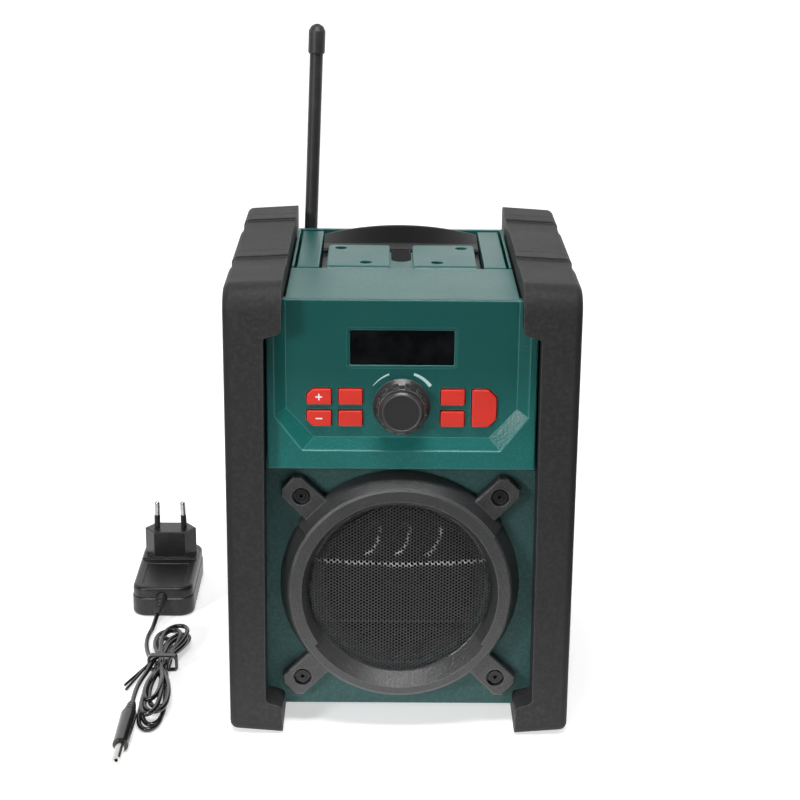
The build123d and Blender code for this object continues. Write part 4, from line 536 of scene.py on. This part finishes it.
def make_grille():
    """The perforated grille: six-sided cells, each with a six-sided hole."""
    bm = bmesh.new()
    column_step = HOLE_PITCH * sqrt(3.0) / 2.0
    columns = int(GRILLE_RADIUS / column_step) + 2
    rows = int(GRILLE_RADIUS / HOLE_PITCH) + 2
    corners = {}

    def vertex(x, z):
        key = (round(x * SAME_PLACE), round(z * SAME_PLACE))
        if key not in corners:
            y = GRILLE_FRONT - grille_rise(x, z)
            corners[key] = bm.verts.new(mm(x, y, RING_Z + z))
        return corners[key]

    outer = HOLE_PITCH / sqrt(3.0)
    turns = [(cos(k * pi / 3.0), sin(k * pi / 3.0)) for k in range(HOLE_SIDES)]
    for column in range(-columns, columns + 1):
        for row in range(-rows, rows + 1):
            x = column * column_step
            z = (row + 0.5 * (column % 2)) * HOLE_PITCH
            if sqrt(x * x + z * z) > GRILLE_RADIUS - outer:
                continue
            rim = []
            hole = []
            for along, up in turns:
                rim.append(vertex(x + outer * along, z + outer * up))
                hole.append(vertex(x + HOLE_RADIUS * along, z + HOLE_RADIUS * up))
            for k, (along, up) in enumerate(turns):
                j = (k + 1) % HOLE_SIDES
                web = bm.faces.new((rim[k], hole[k], hole[j], rim[j]))
                # Index 1 is the paler copy: a painted highlight on the upper steps that face up or left.
                web.material_index = int(has_painted_highlight(x + outer * along, z + outer * up))
    bmesh.ops.recalc_face_normals(bm, faces=bm.faces)
    grille = new_mesh("GrilleMesh", bm, "grille")
    grille.data.materials.append(MATERIALS["grille_painted_highlight"])
    solid = grille.modifiers.new("Sheet", "SOLIDIFY")
    solid.thickness = SHEET_THICKNESS * MM
    solid.offset = 0.0
    make_grille_rim()
    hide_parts("speaker_grille")


def make_grille_rim():
    """The plain rim of the grille, under the ring's lip."""
    bm = bmesh.new()
    loops = []
    for out, back in RIM_SECTION:
        radius = GRILLE_RADIUS + out
        y = GRILLE_FRONT + back
        loop = []
        for k in range(RIM_SEGMENTS):
            angle = tau * k / RIM_SEGMENTS
            loop.append(bm.verts.new(mm(radius * cos(angle), y, RING_Z + radius * sin(angle))))
        loops.append(loop)
    for a, b in zip(loops, loops[1:] + loops[:1]):
        for k in range(RIM_SEGMENTS):
            j = (k + 1) % RIM_SEGMENTS
            bm.faces.new((a[k], a[j], b[j], b[k]))
    bmesh.ops.recalc_face_normals(bm, faces=bm.faces)
    new_mesh("GrilleRim", bm, "grille")


# ---- Printed marks ----
PRINT_THICKNESS = 0.06
ARC_RADIUS = 20.0
ARC_STEPS = 28
LOW_ARC = (144, 111, 0.3, 1.0)    # start and end in degrees, width at the start and at the end
HIGH_ARC = (70, 36, 1.4, 2.0)
MARK_X = -46.6
PLUS_Z, MINUS_Z = 205.9, 193.1
MARK_HALF = 1.9                   # half length of a stroke
MARK_WIDTH = 0.7


def flat_print(name, outline, y, body="housing", slot="button", material=WHITE_PRINT):
    """A thin printed mark from an outline in X and Z."""
    bm = bmesh.new()
    back = [bm.verts.new(mm(x, y, z)) for x, z in outline]
    front = [bm.verts.new(mm(x, y - PRINT_THICKNESS, z)) for x, z in outline]
    count = len(outline)
    bm.faces.new(front)
    bm.faces.new(back[::-1])
    for k in range(count):
        j = (k + 1) % count
        bm.faces.new((back[k], back[j], front[j], front[k]))
    bmesh.ops.recalc_face_normals(bm, faces=bm.faces)
    new_mesh(name, bm, slot, body, material=material, smooth=False)


def arc_outline(start, end, start_width, end_width):
    """A tapered arc about the knob, angles in degrees anticlockwise from +X."""
    outer = []
    inner = []
    for k in range(ARC_STEPS + 1):
        share = k / ARC_STEPS
        angle = radians(start + (end - start) * share)
        half = (start_width + (end_width - start_width) * share) / 2.0
        outer.append(((ARC_RADIUS + half) * cos(angle), KNOB_Z + (ARC_RADIUS + half) * sin(angle)))
        inner.append(((ARC_RADIUS - half) * cos(angle), KNOB_Z + (ARC_RADIUS - half) * sin(angle)))
    return outer + inner[::-1]


def plus_outline(x, z, half, width):
    """A plus sign."""
    w = width / 2.0
    return [
        (x - w, z - half), (x + w, z - half), (x + w, z - w), (x + half, z - w), (x + half, z + w),
        (x + w, z + w), (x + w, z + half), (x - w, z + half), (x - w, z + w), (x - half, z + w),
        (x - half, z - w), (x - w, z - w),
    ]


def box_outline(x, z, half_x, half_z):
    """A rectangle."""
    return [
        (x - half_x, z - half_z), (x + half_x, z - half_z),
        (x + half_x, z + half_z), (x - half_x, z + half_z),
    ]


def make_prints():
    """The volume arcs and the plus and minus marks."""
    flat_print("VolumeArcLow", arc_outline(*LOW_ARC), PANEL_FLOOR, slot="housing", material=PALE_PRINT)
    flat_print("VolumeArcHigh", arc_outline(*HIGH_ARC), PANEL_FLOOR, slot="housing", material=PALE_PRINT)
    plus = plus_outline(MARK_X, PLUS_Z, MARK_HALF, MARK_WIDTH)
    minus = box_outline(MARK_X, MINUS_Z, MARK_HALF, MARK_WIDTH / 2.0)
    flat_print("PlusMark", plus, BUTTON_FACE, body="tune_up_key")
    flat_print("MinusMark", minus, BUTTON_FACE, body="tune_down_key")


# ---- Stage and light ----
STAGE_CENTRE = 0.0005             # radius of the pinhole at the floor's centre, in metres
STAGE_INNER = 0.24                # radius of the floor that shows in reflections all round
STAGE_OUTER = 1.9
STAGE_BEND = 0.6                  # radius of the curve from floor to wall
STAGE_HIGH = 3.2
BEND_STEPS = 12
STAGE_BACK = (10, 170)            # degrees, anticlockwise from +X
STAGE_FRONT = (170, 370)
STAGE_GLOW = 0.52
WORLD_GLOW = 0.06
RADIO_MIDDLE = (0.0, 0.0, 0.15)   # what the main lights point at


def stage_material():
    """A white translucent sweep, lit from behind, with barely visible unevenness."""
    n = Nodes("StageWhite")
    body = n.mix(n.ramp(n.noise(3.0), low=0.3, high=0.7), (0.78, 0.78, 0.78), (0.80, 0.80, 0.80))
    return n.out(Base_Color=body, Roughness=0.9, Emission_Color=(1.0, 1.0, 1.0), Emission_Strength=STAGE_GLOW)


def stage_piece(name, profile, start, end, material, steps=48):
    """A part of the round sweep, turned about Z between two angles."""
    bm = bmesh.new()
    rows = []
    for k in range(steps + 1):
        angle = radians(start + (end - start) * k / steps)
        rows.append([bm.verts.new((r * cos(angle), r * sin(angle), z)) for r, z in profile])
    for a, b in zip(rows, rows[1:]):
        for k in range(len(profile) - 1):
            bm.faces.new((a[k], a[k + 1], b[k + 1], b[k]))
    mesh = bpy.data.meshes.new(name)
    bm.to_mesh(mesh)
    bm.free()
    mesh.shade_smooth()
    mesh.materials.append(material)
    piece = bpy.data.objects.new(name, mesh)
    bpy.context.scene.collection.objects.link(piece)
    return piece


def make_stage():
    """A round white floor that curves up into a wall. Its front part shows in no reflection."""
    material = stage_material()
    wall = [(STAGE_INNER, 0.0), (STAGE_OUTER - STAGE_BEND, 0.0)]
    for k in range(1, BEND_STEPS + 1):
        angle = (pi / 2) * k / BEND_STEPS
        wall.append((STAGE_OUTER - STAGE_BEND + STAGE_BEND * sin(angle), STAGE_BEND * (1.0 - cos(angle))))
    wall.append((STAGE_OUTER, STAGE_HIGH))
    stage_piece("StageFloor", [(STAGE_CENTRE, 0.0), (STAGE_INNER, 0.0)], 0, 360, material, steps=96)
    stage_piece("StageBack", wall, *STAGE_BACK, material)
    front = stage_piece("StageFront", wall, *STAGE_FRONT, material)
    front.visible_glossy = False
    front.visible_diffuse = False


def area_light(name, place, target, size, power):
    """A soft rectangular light that points at a target. The camera doesn't see it."""
    data = bpy.data.lights.new(name, "AREA")
    data.shape = "RECTANGLE"
    data.size, data.size_y = size
    data.energy = power
    light = bpy.data.objects.new(name, data)
    light.location = place
    way = Vector(target) - Vector(place)
    light.rotation_euler = way.to_track_quat("-Z", "Y").to_euler()
    light.visible_camera = False
    bpy.context.scene.collection.objects.link(light)
    return light


def make_lights():
    """Soft boxes above, on each side and low in front, and a faint even surround."""
    world = bpy.data.worlds.new("Surround")
    world.use_nodes = True
    background = world.node_tree.nodes["Background"]
    background.inputs["Color"].default_value = (1.0, 1.0, 1.0, 1.0)
    background.inputs["Strength"].default_value = WORLD_GLOW
    bpy.context.scene.world = world
    area_light("TopBox", (0.0, -0.42, 1.30), RADIO_MIDDLE, size=(0.7, 0.30), power=13.0)
    area_light("LeftBox", (-0.98, -1.17, 0.58), RADIO_MIDDLE, size=(0.26, 0.34), power=12.0)
    area_light("RightBox", (1.3, -0.5, 0.6), (0.0, 0.0, 0.12), size=(0.3, 0.6), power=1.0)
    low = area_light("LowBox", (0.0, -0.55, 0.05), (0.0, 0.0, 0.16), size=(0.6, 0.12), power=1.1)
    low.visible_glossy = False


make_camera()
make_lights()
make_stage()
dress_nodes()
make_cord()
make_grille()
make_prints()

bpy.context.scene.view_settings.view_transform = "Standard"
